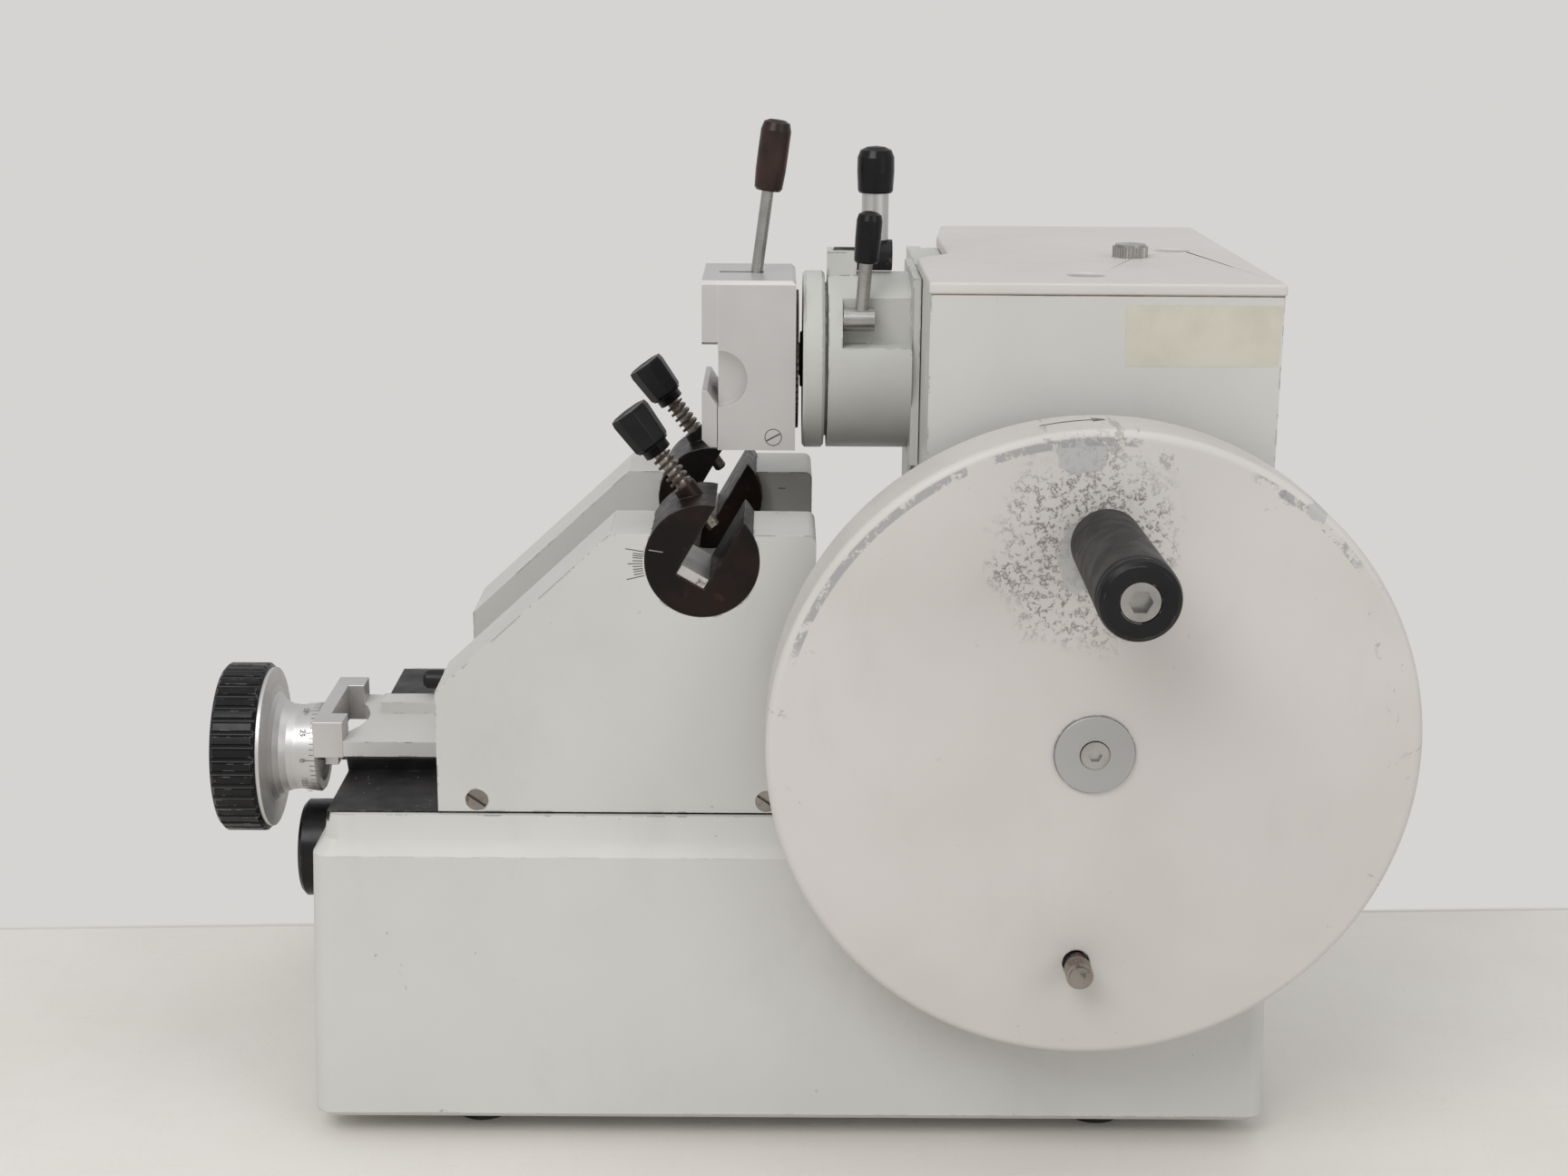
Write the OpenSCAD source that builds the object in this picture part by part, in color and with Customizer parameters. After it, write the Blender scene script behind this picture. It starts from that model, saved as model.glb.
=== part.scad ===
// Rotary microtome: a cast base with a knife carriage on a dovetail rail, and a box
// housing whose handwheel drives a specimen head up and down.
// Millimetres. X runs along the base towards the housing, -Y faces the handwheel side,
// Z is up. The origin is on the bench under the middle of the whole machine.

/* [Base casting] */
// Length of the base casting
base_length = 370; // [350:1:390]
// Depth of the base casting, handwheel side to far side
base_depth = 206; // [200:1:225]
// Height of the base top above the bench
base_top = 131.5; // [126:0.5:137]
// Gap between the bench and the underside of the casting
base_lift = 9; // [8:0.5:12]
// Wall thickness of the base casting
base_wall = 8; // [6:0.5:10]
// How far the drafted side walls lean in from bottom to shoulder
base_draft = 3; // [2:0.5:4]
// How far the sloping shoulder steps in
shoulder_inset = 4; // [3:0.5:5]
// Height of the sloping shoulder
shoulder_height = 5.5; // [4:0.5:7]
// Depth of the shoulder's start below the base top
shoulder_drop = 15; // [13:0.5:18]
// Size of the bevel along the bottom edge
base_edge = 2.5; // [1.5:0.5:4]
// Radius of the casting's four upright corners
base_corner_r = 7; // [5:0.5:10]
// Thickness of the sheet that closes the underside
bottom_plate_t = 2; // [1.5:0.5:3]
// Radius of each rubber foot
foot_r = 11.5; // [10:0.5:13]
// Distance of each foot from the middle of the base, along the base
foot_x = 122; // [110:1:135]
// Distance of each foot from the near and far side
foot_inset = 27; // [24:1:34]

/* [Bed and rail] */
// Height of the black bed plates above the casting
bed_rise = 0.5; // [0.3:0.1:1]
// Thickness of the bed plates
bed_t = 4; // [3:0.5:5]
// Distance from the near side of the base to the cutting line
line_y = 85.5; // [83:0.5:88]
// Width of the dovetail rail at its top
rail_w = 62; // [58:1:64]
// Height of the rail above the casting
rail_h = 6.7; // [6.2:0.1:8]
// How far each rail flank leans in towards its foot
rail_undercut = 2.5; // [1.5:0.5:3]
// Radius of the lead screw
lead_screw_r = 4; // [3.5:0.1:4.5]

/* [Knife carriage] */
// Clear width between the two cheeks
cheek_gap = 72; // [71:0.5:76]
// Thickness of each cheek
cheek_t = 39.5; // [34:0.5:41]
// Height of the cheeks' top face above the bench
cheek_top = 240.8; // [236:0.2:244]
// Gap between the rear ends of the cheeks and the housing
carriage_gap = 39.8; // [39:0.2:42]
// Length of each cheek along the base
cheek_length = 142.2; // [138:0.2:146]
// Length of the flat top of each cheek
cheek_crest = 76; // [72:1:80]
// Height of the cheeks' front edge, where the slope starts
cheek_front_z = 179.5; // [170:0.5:190]
// Thickness of the carriage tongue over the rail
tongue_t = 6.1; // [5:0.1:7]
// How far the carriage tongue ends short of the end of the base
tongue_inset = 7.1; // [3:0.1:11]
// Travel of the carriage away from the specimen
carriage_travel = 45; // [30:1:50]

/* [Knife holder] */
// Radius of the round knife holder
holder_r = 21.3; // [20:0.1:22]
// Distance of the knife holder's axis from the rear ends of the cheeks
holder_inset = 42; // [41.2:0.1:43.2]
// Depth of the holder axis below the cheeks' top
holder_drop = 10.2; // [9:0.1:12]
// Width of the knife slot
slot_w = 12; // [10:0.5:13]
// Depth of the slot floor below the holder axis
slot_floor = 9.1; // [8:0.1:11]
// Backward lean of the slot in degrees
slot_lean = 30; // [27:1:32]
// Thickness of the knife rest bars
rest_t = 4; // [3:0.5:5]
// Forward lean of the clamp screws in degrees
screw_lean = 36.2; // [34:0.2:38]
// Radius of the knife clamp screws
clamp_screw_r = 2.5; // [2:0.1:3]
// Radius of the clamp screw knobs at the free end
screw_knob_r = 7.2; // [6:0.1:8]
// Length of the clamp screw knobs
screw_knob_length = 19.5; // [16:0.5:22]

/* [Feed drive] */
// Radius of the black micrometer grip
grip_r = 34.4; // [32:0.2:36]
// Width of the black micrometer grip
grip_w = 18; // [15:0.5:20]
// Radius of the graduated collar
collar_r = 18.2; // [16:0.2:20]
// Number of grooves round the micrometer grip
grip_grooves = 40; // [24:2:48]
// Radius of the thickness knob on the front of the base
thickness_knob_r = 20; // [17:0.5:22]
// Width of the thickness knob
thickness_knob_w = 17; // [14:0.5:20]
// Height of the thickness knob's axis above the bench
thickness_z = 88; // [84:0.5:92]
// Number of teeth on the feed ratchet
ratchet_teeth = 40; // [24:2:50]
// Radius of the feed ratchet
ratchet_r = 18; // [16:0.5:19]

/* [Housing] */
// Length of the housing along the base
housing_length = 126.5; // [124:0.5:128]
// Distance of the housing's rear face from the rear end of the base
housing_rear_gap = 10.5; // [9:0.5:12]
// Distance from the near side of the base to the housing
housing_inset = 8; // [7:0.5:9]
// How far the housing stands in from the far side of the base
housing_far_gap = 3; // [2:0.5:8]
// Height of the housing's walls above the base
housing_height = 198.5; // [195:0.5:206]
// Wall thickness of the housing
housing_wall = 6; // [5:0.5:7]
// Depth of the near part that stands forward of the slideway
forward_depth = 73; // [70:1:76]
// How far the near part stands forward of the slideway
forward_step = 13; // [12.6:0.1:14]
// Thickness of the top cover
cover_t = 4.3; // [3:0.1:6]

/* [Handwheel] */
// Radius of the handwheel
wheel_r = 117.1; // [112:0.1:120]
// Width of the handwheel's rim
wheel_w = 30.7; // [28:0.1:34]
// Running gap between the handwheel and the base
wheel_gap = 5; // [4.5:0.1:7]
// Height of the handwheel's axis above the bench
wheel_z = 172.7; // [171:0.1:176]
// Distance of the handwheel's axis from the free end of the housing
wheel_inset = 67.4; // [65.5:0.1:69.5]
// Radius at which the handle sits on the wheel
handle_offset = 78.5; // [70:0.5:85]
// Length of the handle
handle_length = 83.1; // [75:0.1:95]
// Radius of the handle at its tip
handle_r = 13.6; // [12.6:0.1:15]
// Radius of the main shaft
shaft_r = 10; // [9:0.1:10.5]
// Travel of the wheel's lock pin
lock_travel = 12; // [11:0.5:12]

/* [Specimen head] */
// Height of the head's axis above the bench at the top of its stroke
head_z = 294; // [292:0.5:296]
// Vertical stroke of the specimen head
stroke = 60; // [40:1:60]
// Radius of the head drum
drum_r = 34.3; // [33:0.1:34.8]
// Length of the head drum
drum_length = 31.7; // [30:0.1:33]
// Thickness of the orientation flange
flange_t = 8.3; // [7:0.1:9]
// Width of the cassette clamp
clamp_w = 57; // [54:0.5:58]
// Height of the cassette clamp
clamp_h = 65; // [62:0.5:66]
// Thickness of the clamp body behind its jaws
clamp_t = 29.7; // [28:0.1:30]
// Thickness of the jaws in front of the clamp body
jaw_t = 6.1; // [5:0.1:6.5]
// Radius of the orientation ball
ball_r = 12; // [11:0.1:12.4]
// Length of the clamp lever above its pivot, grip included
lever_length = 97; // [90:0.5:104]

/* [Hidden] */
$fn = 48;

// Clearances used throughout
run_fit = 0.05;      // a shaft turning in its bore
screw_fit = 0.1;     // a screw in its hole
slide_gap = 0.3;     // two flat faces that slide past each other
over = 1;            // how far a cut runs past the face it opens

// Colours
paint = [0.80, 0.81, 0.78];
alloy = [0.72, 0.71, 0.69];
steel = [0.60, 0.60, 0.60];
dark_steel = [0.20, 0.17, 0.16];
black = [0.06, 0.06, 0.06];
rubber_black = [0.10, 0.10, 0.10];
brown = [0.22, 0.12, 0.10];

// Base outline and levels
base_x0 = -base_length / 2;
base_x1 = base_length / 2;
top_inset = base_draft + shoulder_inset + 1.2;
bed_z = base_top + bed_rise;
top_wall = 10.5;
plate_z = base_lift + 0.5;
cavity_floor = plate_z + bottom_plate_t;

// Housing outline
housing_x1 = base_x1 - housing_rear_gap;
housing_x0 = housing_x1 - housing_length;
housing_y0 = housing_inset;
housing_y1 = base_depth - housing_far_gap;
housing_z1 = base_top + housing_height;
recess_x = housing_x0 + forward_step;
recess_y0 = housing_y0 + forward_depth + 17;
recess_y1 = recess_y0 + 64;
far_corner_in = 4.6;
slide_y = (recess_y0 + recess_y1) / 2;
cover_z = housing_z1;

// Rail and carriage levels
rail_top = base_top + rail_h;
rail_x0 = base_x0 + top_inset + 0.1;
rail_x1 = housing_x0 - 8;
tongue_z0 = rail_top + slide_gap;
tongue_z1 = tongue_z0 + tongue_t;
carriage_z0 = bed_z + 0.4;
carriage_z1 = tongue_z1 + 5.4;
near_inner = line_y - cheek_gap / 2;
far_inner = line_y + cheek_gap / 2;
near_face = near_inner - cheek_t;
far_face = far_inner + cheek_t;
cheek_rear = housing_x0 - carriage_gap;
cheek_x0 = cheek_rear - cheek_length;
cheek_crest_x = cheek_rear - cheek_crest;
tongue_x0 = base_x0 + tongue_inset;
holder_x = cheek_rear - holder_inset;
holder_z = cheek_top - holder_drop;
cheek_screw_r = 2.5;
cheek_screw_head_r = 4.15;
cheek_screw_z = carriage_z0 + 4.6;
cheek_screw_xs = [cheek_x0 + 14.7, cheek_rear - 17.7];

// Micrometer and lead screw
spindle_z = bed_z;
yoke_t = 12.1;
yoke_bar_t = 5.6;
yoke_x0 = tongue_x0 - yoke_t;
yoke_w = 61;
yoke_z0 = tongue_z0 - 0.9;
yoke_z1 = yoke_z0 + 14.9;
yoke_arm_w = 12;
neck_r = lead_screw_r - 1.2;
dial_x1 = yoke_x0 - 1.5;
grip_x1 = dial_x1 - 21.5;
grip_x0 = grip_x1 - grip_w;
channel_w = 12;
channel_z = spindle_z - lead_screw_r - 1.5;
nut_x0 = base_x0 + 33.1;
nut_length = 16;
ratchet_x0 = recess_x + housing_wall + 2;
ratchet_t = 4;
arm_x0 = ratchet_x0 + ratchet_t + 1.5;
arm_t = 4;
steady_x0 = arm_x0 + arm_t + 1.5;
steady_t = 6.5;
lead_screw_x1 = steady_x0 + steady_t + carriage_travel + 4;

// Handwheel train
wheel_x = housing_x1 - wheel_inset;
wheel_rear = -wheel_gap;
wheel_front = wheel_rear - wheel_w;
handle_z = wheel_z + handle_offset;
handle_tip = wheel_front - handle_length;
hub_screw_l = 26;
lock_offset = 80.5;
lock_x = wheel_x - 3.4;
lock_z = wheel_z - lock_offset;
lock_pin_r = 3.9;
crank_radius = stroke / 2;
tube_r = 19;
tube_y1 = housing_y0 + 86;
bearing_r = 16;
bearing_w = 9;
crank_y0 = tube_y1 + 1.8;
crank_t = 9.2;
crank_r = 35;
crank_pin_r = 4;
roller_r = 7;
pin_y1 = crank_y0 + crank_t + 10.4;
yoke_plane = pin_y1 + 0.3;
yoke_plate_t = 8;

// Specimen head
guide_w = 7.8;
guide_t = 7.2;
slide_x1 = recess_x - 0.8;
slide_x0 = housing_x0 - 0.4;
slide_plate_t = 3.1;
plate_x0 = slide_x0 - slide_plate_t;
drum_x0 = plate_x0 - drum_length;
flange_x1 = drum_x0 - 1.2;
flange_x0 = flange_x1 - flange_t;
ring_gap = 1.6;
ring_t = 1.2;
clamp_x1 = flange_x0 - ring_gap - ring_t;
clamp_x0 = clamp_x1 - clamp_t;
jaw_x0 = clamp_x0 - jaw_t;
clamp_z1 = head_z + 34;
clamp_z0 = clamp_z1 - clamp_h;
ball_x = flange_x0 + 4.7;
pivot_x = clamp_x0 + 9.4;
pivot_z = head_z - 4;
lever_lean = 7.6;
lever_slot_w = 5;

// Middle of the whole machine on the bench
machine_x = (grip_x0 + wheel_x + wheel_r) / 2;
machine_y = (handle_tip + base_depth) / 2;

// ---------- shared shapes ----------

module box(lo, hi) {
  translate(lo)
    cube(hi - lo);
}

module rod_x(r, x0, x1, y, z) {
  translate([x0, y, z])
    rotate([0, 90, 0])
      cylinder(r = r, h = x1 - x0);
}

module rod_y(r, y0, y1, x, z) {
  translate([x, y0, z])
    rotate([-90, 0, 0])
      cylinder(r = r, h = y1 - y0);
}

module rod_z(r, z0, z1, x, y) {
  translate([x, y, z0])
    cylinder(r = r, h = z1 - z0);
}

// Turns a profile of [radius, distance] points round an axis along +Y
module turned_y(points, x, y, z) {
  translate([x, y, z])
    rotate([-90, 0, 0])
      rotate_extrude($fn = 96)
        polygon(points);
}

// Turns a profile of [radius, distance] points round an axis along +X
module turned_x(points, x, y, z) {
  translate([x, y, z])
    rotate([0, 90, 0])
      rotate_extrude($fn = 96)
        polygon(points);
}

// Extrudes an outline in X and Z along Y
module side_shape(points, y0, y1) {
  translate([0, y1, 0])
    rotate([90, 0, 0])
      linear_extrude(y1 - y0)
        polygon(points);
}

// Extrudes an outline in Y and Z along X
module end_shape(points, x0, x1) {
  translate([x0, 0, 0])
    rotate([90, 0, 90])
      linear_extrude(x1 - x0)
        polygon(points);
}

// Points of an arc, both ends included
function arc(cx, cy, r, a0, a1, n) =
  [for (i = [0 : n]) [cx + r * cos(a0 + (a1 - a0) * i / n), cy + r * sin(a0 + (a1 - a0) * i / n)]];

// A gear-like outline with pointed teeth
function toothed(r, depth, teeth, rake) =
  [for (i = [0 : teeth - 1])
    for (k = [0, 1])
      let (a = 360 * (i + k * rake) / teeth)
        [(r - depth * k) * cos(a), (r - depth * k) * sin(a)]];

// Plain countersunk-free screw along +Z: head, shank and hexagon socket
module socket_screw(head_r, head_h, shank_r, length) {
  difference() {
    union() {
      translate([0, 0, -head_h])
        cylinder(r = head_r, h = head_h);
      cylinder(r = shank_r, h = length);
    }
    translate([0, 0, -head_h - over])
      cylinder(r = head_r * 0.5, h = head_h * 0.6 + over, $fn = 6);
  }
}

// Rectangle with round corners, lower left corner at the origin
module rounded_rect(w, d, r) {
  translate([r, 0])
    square([w - 2 * r, d]);
  translate([0, r])
    square([w, d - 2 * r]);
  for (x = [r, w - r])
    for (y = [r, d - r])
      translate([x, y])
        circle(r = r, $fn = 32);
}

// Thin slice of the base outline, set in from the lowest outline
module base_slice(inset, z) {
  translate([base_x0 + inset, inset, z])
    linear_extrude(0.01)
      rounded_rect(base_length - 2 * inset, base_depth - 2 * inset, base_corner_r);
}

// Plan of the housing, grown outwards by g
function housing_plan(g) = [
  [housing_x0 - g, housing_y0 - g],
  [housing_x1 + g, housing_y0 - g],
  [housing_x1 + g, housing_y1 + g],
  [recess_x + far_corner_in - g, housing_y1 + g],
  [recess_x - g, recess_y1],
  [recess_x - g, recess_y0],
  [housing_x0 - g, housing_y0 + forward_depth]
];

// Places a child along the near or far clamp screw: its tip at 0, its knob up
module along_clamp_screw(y) {
  tip = 9.2;
  translate([holder_x, y, holder_z])
    rotate([0, slot_lean, 0])
      translate([-0.5, 0, tip])
        rotate([0, -slot_lean - screw_lean, 0])
          children();
}

near_seg_y0 = near_face + 0.4;
near_seg_y1 = near_inner + 1;
far_seg_y0 = far_inner - 5.7;
far_seg_y1 = far_face - 1;
near_screw_y = near_face + cheek_t / 2 + 0.75;
far_screw_y = far_inner + cheek_t / 2 - 3.25;
boss_top = 20;
spring_top = 34.8;
spring_turns = 5;

rail_screw_xs = [rail_x1 - 160, rail_x1 - 100, rail_x1 - 40, rail_x1 - 10];
rail_screw_dy = rail_w / 2 - 13;
foot_ys = [foot_inset, base_depth - foot_inset];
plate_screw_xs = [base_x0 + 25, 0, base_x1 - 37];
plate_screw_ys = [22, base_depth - 22];
boss_xy = [
  [housing_x0 + housing_wall + 7, housing_y0 + housing_wall + 7],
  [housing_x1 - housing_wall - 7, housing_y0 + housing_wall + 7],
  [housing_x1 - housing_wall - 7, housing_y1 - housing_wall - 10],
  [recess_x + far_corner_in + housing_wall + 3.8, housing_y1 - housing_wall - 10]
];
boss_size = 13;
boss_h = 18;
foot_h = 6.5;
cavity_in = base_wall + 4;
cavity_top = base_top - top_wall;
opening_x0 = recess_x + housing_wall + 1;
opening_x1 = wheel_x + 49;
opening_y0 = housing_y0 + 16;
opening_y1 = housing_y1 - 23;
cover_screw_x = housing_x0 + 83;
cover_screw_y = housing_y0 + 82;
cover_hole_r = 6.8;
cover_holes = [[housing_x0 + 58.4, housing_y0 + 24.9], [housing_x0 + 103.4, housing_y0 + 106.4]];
flange_r = 28;
flange_y0 = housing_y0 + housing_wall;
flange_h = 6;

// ---------- base ----------

module base_casting() {
  hub_top = spindle_z + 8;
  color(paint)
    difference() {
      union() {
        hull() {
          base_slice(base_edge, base_lift);
          base_slice(0, base_lift + base_edge);
          base_slice(base_draft, base_top - shoulder_drop);
        }
        hull() {
          base_slice(base_draft, base_top - shoulder_drop);
          base_slice(base_draft + shoulder_inset, base_top - shoulder_drop + shoulder_height);
        }
        hull() {
          base_slice(base_draft + shoulder_inset, base_top - shoulder_drop + shoulder_height);
          base_slice(top_inset, base_top - 0.01);
        }
      }
      difference() {
        box(
          [base_x0 + cavity_in, cavity_in, base_lift - over],
          [base_x1 - cavity_in, base_depth - cavity_in, cavity_top]
        );
        base_inside();
      }
      box([opening_x0, opening_y0, cavity_top - over], [steady_x0, opening_y1, base_top + over]);
      box([steady_x0 - over, opening_y0, cavity_top - over],
        [steady_x0 + steady_t + over, line_y - 9, base_top + over]);
      box([steady_x0 - over, line_y + 9, cavity_top - over],
        [steady_x0 + steady_t + over, opening_y1, base_top + over]);
      box([steady_x0 + steady_t, opening_y0, cavity_top - over], [opening_x1, opening_y1, base_top + over]);
      box([base_x0 - over, line_y - channel_w / 2, channel_z],
        [opening_x0 + over, line_y + channel_w / 2, base_top + over]);
      bed_recess(bed_z - bed_t);
      rod_x(4 + run_fit, base_x0 - over, base_x0 + cavity_in + over, line_y, thickness_z);
      rod_y(lock_pin_r + slide_gap, -over, wheel_rear + lock_travel + 1.7, lock_x, lock_z);
      for (x = [-foot_x, foot_x])
        for (y = foot_ys)
          rod_z(2.5 + screw_fit, base_lift - 10, base_lift + 18, x, y);
      for (x = plate_screw_xs)
        for (y = plate_screw_ys)
          rod_z(1.5 + screw_fit, base_lift - over, base_lift + 15, x, y);
      for (x = rail_screw_xs)
        for (dy = [-rail_screw_dy, rail_screw_dy])
          rod_z(2 + screw_fit, cavity_top - over, base_top + over, x, line_y + dy);
      for (p = boss_xy)
        rod_z(2.5 + screw_fit, cavity_top - over, base_top + over, p[0], p[1]);
      rod_x(lead_screw_r + run_fit, steady_x0 - over, steady_x0 + steady_t + over, line_y, spindle_z);
    }
  color(paint)
    difference() {
      box([steady_x0, line_y - 8, base_top - 3], [steady_x0 + steady_t, line_y + 8, hub_top]);
      rod_x(lead_screw_r + run_fit, steady_x0 - over, steady_x0 + steady_t + over, line_y, spindle_z);
    }
}

// Ribs, pillars and foot bosses that stand inside the base cavity
module base_inside() {
  difference() {
    for (x = [-60, 40])
      box([x, 0, 70], [x + 6, base_depth, cavity_top + over]);
    rod_x(6, -80, 80, line_y, thickness_z);
  }
  difference() {
    box([steady_x0, 0, 70], [steady_x0 + steady_t, base_depth, cavity_top + over]);
    rod_x(4 + run_fit, steady_x0 - over, steady_x0 + steady_t + over, line_y, thickness_z);
  }
  for (x = [-foot_x, foot_x])
    for (y = foot_ys)
      rod_z(13, base_lift - over, cavity_top + over, x, y);
  for (x = plate_screw_xs) {
    for (y = plate_screw_ys)
      rod_z(6, cavity_floor, cavity_top + over, x, y);
    box([x - 2, 0, cavity_floor], [x + 2, plate_screw_ys[0], cavity_top + over]);
    box([x - 2, plate_screw_ys[1], cavity_floor], [x + 2, base_depth, cavity_top + over]);
  }
}

// The two shallow seats of the bed plates, from z upwards
module bed_recess(z) {
  foot_half = rail_w / 2 - rail_undercut;
  box([base_x0, top_inset + 2.5, z], [rail_x1 + 4, line_y - foot_half - 0.5, base_top + over]);
  box([base_x0, line_y + foot_half + 0.5, z], [rail_x1 + 4, base_depth - top_inset - 2.5, base_top + over]);
}

module bottom_plate() {
  gap = 0.3;
  color(paint)
    difference() {
      box(
        [base_x0 + cavity_in + gap, cavity_in + gap, plate_z],
        [base_x1 - cavity_in - gap, base_depth - cavity_in - gap, cavity_floor]
      );
      for (x = [-foot_x, foot_x])
        for (y = foot_ys)
          rod_z(13 + gap, plate_z - over, cavity_floor + over, x, y);
      for (x = plate_screw_xs)
        for (y = plate_screw_ys)
          rod_z(1.5 + screw_fit, plate_z - over, cavity_floor + over, x, y);
    }
}

module rubber_feet() {
  color(rubber_black)
    for (x = [-foot_x, foot_x])
      for (y = foot_ys)
        difference() {
          union() {
            rod_z(foot_r, 0, foot_h, x, y);
            rod_z(foot_r - 1, foot_h - over, base_lift, x, y);
          }
          rod_z(4.6, -over, 3, x, y);
          rod_z(2.5 + screw_fit, 0, base_lift + over, x, y);
        }
}

module bed_plates() {
  gap = 0.3;
  foot_half = rail_w / 2 - rail_undercut;
  color(black) {
    box([base_x0 + top_inset + gap, top_inset + 2.5 + gap, bed_z - bed_t],
      [rail_x1 + 4 - gap, line_y - foot_half - 0.5 - gap, bed_z]);
    box([base_x0 + top_inset + gap, line_y + foot_half + 0.5 + gap, bed_z - bed_t],
      [rail_x1 + 4 - gap, base_depth - top_inset - 2.5 - gap, bed_z]);
  }
}

// Cross-section of the dovetail rail, grown sideways and upwards by g
function rail_outline(g) = [
  [line_y - rail_w / 2 + rail_undercut - g, base_top - g],
  [line_y + rail_w / 2 - rail_undercut + g, base_top - g],
  [line_y + rail_w / 2 + g, rail_top - 1.2],
  [line_y + rail_w / 2 + g, rail_top + g],
  [line_y - rail_w / 2 - g, rail_top + g],
  [line_y - rail_w / 2 - g, rail_top - 1.2]
];

module dovetail_rail() {
  head_r = 3.5;
  color(black)
    difference() {
      end_shape(rail_outline(0), rail_x0, rail_x1);
      box([rail_x0 - over, line_y - channel_w / 2, base_top - over],
        [rail_x1 - 20, line_y + channel_w / 2, rail_top + over]);
      box([rail_x1 - 40, line_y - channel_w / 2, base_top - over],
        [rail_x1 + over, line_y + channel_w / 2, spindle_z + 4.6]);
      for (x = rail_screw_xs)
        for (dy = [-rail_screw_dy, rail_screw_dy]) {
          rod_z(2 + screw_fit, base_top - over, rail_top, x, line_y + dy);
          rod_z(head_r + screw_fit, rail_top - 3.5, rail_top + over, x, line_y + dy);
        }
    }
}

module feed_nut() {
  w = channel_w / 2 - 0.1;
  color(steel)
    difference() {
      box([nut_x0, line_y - w, channel_z], [nut_x0 + nut_length, line_y + w, rail_top - 0.1]);
      rod_x(lead_screw_r + run_fit, nut_x0 - over, nut_x0 + nut_length + over, line_y, spindle_z);
    }
}

module frame_screws() {
  guide_dy = (recess_y1 - recess_y0) / 2 - 3;
  color(steel) {
    for (x = [-foot_x, foot_x])
      for (y = foot_ys)
        translate([x, y, 3])
          socket_screw(4.4, 2.6, 2.5, 20);
    for (x = plate_screw_xs)
      for (y = plate_screw_ys)
        translate([x, y, plate_z])
          socket_screw(3, 1.8, 1.5, 12);
    for (x = rail_screw_xs)
      for (dy = [-rail_screw_dy, rail_screw_dy])
        translate([x, line_y + dy, rail_top - 3.5])
          rotate([180, 0, 0])
            socket_screw(3.5, 3.2, 2, 9);
    for (p = boss_xy)
      translate([p[0], p[1], cavity_top])
        socket_screw(4, 4, 2.5, top_wall + boss_h - 5);
    for (a = [45 : 90 : 315])
      translate([wheel_x + 23.5 * cos(a), flange_y0 + flange_h, wheel_z + 23.5 * sin(a)])
        rotate([90, 0, 0])
          socket_screw(3.3, 3.3, 2, flange_h + 4);
    for (dy = [-guide_dy, guide_dy])
      for (z = guide_screw_zs)
        translate([recess_x - guide_t + 3, slide_y + dy, z])
          rotate([0, 90, 0])
            socket_screw(2.2, 2, 1.5, 8.5);
  }
}

// ---------- housing ----------

guide_screw_zs = [for (i = [0 : 3]) base_top + 20 + i * (housing_height - 33.5) / 3];
slot_top = wheel_z + crank_radius + 18;

module housing_shell() {
  bar_z0 = housing_z1 - 12;
  color(paint)
    difference() {
      union() {
        difference() {
          translate([0, 0, base_top])
            linear_extrude(housing_height)
              polygon(housing_plan(0));
          translate([0, 0, base_top - over])
            linear_extrude(housing_height + 2 * over)
              polygon(housing_plan(-housing_wall));
        }
        intersection() {
          translate([0, 0, base_top])
            linear_extrude(housing_height)
              polygon(housing_plan(-over));
          union() {
            for (p = boss_xy)
              box([p[0] - boss_size / 2 - 4, p[1] - boss_size / 2 - 4, base_top],
                [p[0] + boss_size / 2 + 4, p[1] + boss_size / 2 + 4, base_top + boss_h]);
            box([housing_x0, cover_screw_y - 6, bar_z0], [housing_x1, cover_screw_y + 6, housing_z1]);
          }
        }
      }
      for (p = boss_xy)
        rod_z(2.5 + screw_fit, base_top - over, base_top + boss_h - 3, p[0], p[1]);
      rod_y(tube_r + run_fit, housing_y0 - over, flange_y0 + over, wheel_x, wheel_z);
      for (a = [45 : 90 : 315])
        rod_y(2 + screw_fit, flange_y0 - 4.2, flange_y0 + over,
          wheel_x + 23.5 * cos(a), wheel_z + 23.5 * sin(a));
      box([recess_x - over, yoke_plane - 1.5, base_top + 3],
        [recess_x + housing_wall + over, yoke_plane + yoke_plate_t + 2, slot_top]);
      box([housing_x0 - over, line_y - channel_w / 2, base_top - over],
        [opening_x0 + over, line_y + channel_w / 2, spindle_z + 6]);
      rod_z(3 + screw_fit, bar_z0 - over, housing_z1 + over, cover_screw_x, cover_screw_y);
      for (dy = [-(recess_y1 - recess_y0) / 2 + 3, (recess_y1 - recess_y0) / 2 - 3])
        for (z = guide_screw_zs)
          rod_x(1.5 + screw_fit, recess_x - over, recess_x + 4.6, slide_y + dy, z);
    }
}

module top_cover() {
  rim = 0.7;
  color(paint)
    difference() {
      translate([0, 0, cover_z])
        linear_extrude(cover_t)
          polygon(housing_plan(rim));
      for (p = cover_holes)
        rod_z(cover_hole_r, cover_z - over, cover_z + cover_t + over, p[0], p[1]);
      rod_z(3 + screw_fit, cover_z - over, cover_z + cover_t + over, cover_screw_x, cover_screw_y);
    }
}

module cover_screw() {
  head = toothed(6.85, 0.35, 36, 0.5);
  color(steel) {
    translate([cover_screw_x, cover_screw_y, cover_z + cover_t])
      linear_extrude(4.2)
        polygon(head);
    rod_z(5.9, cover_z + cover_t + 4, cover_z + cover_t + 5, cover_screw_x, cover_screw_y);
    rod_z(3, housing_z1 - 11, cover_z + cover_t + over, cover_screw_x, cover_screw_y);
  }
}

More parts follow.
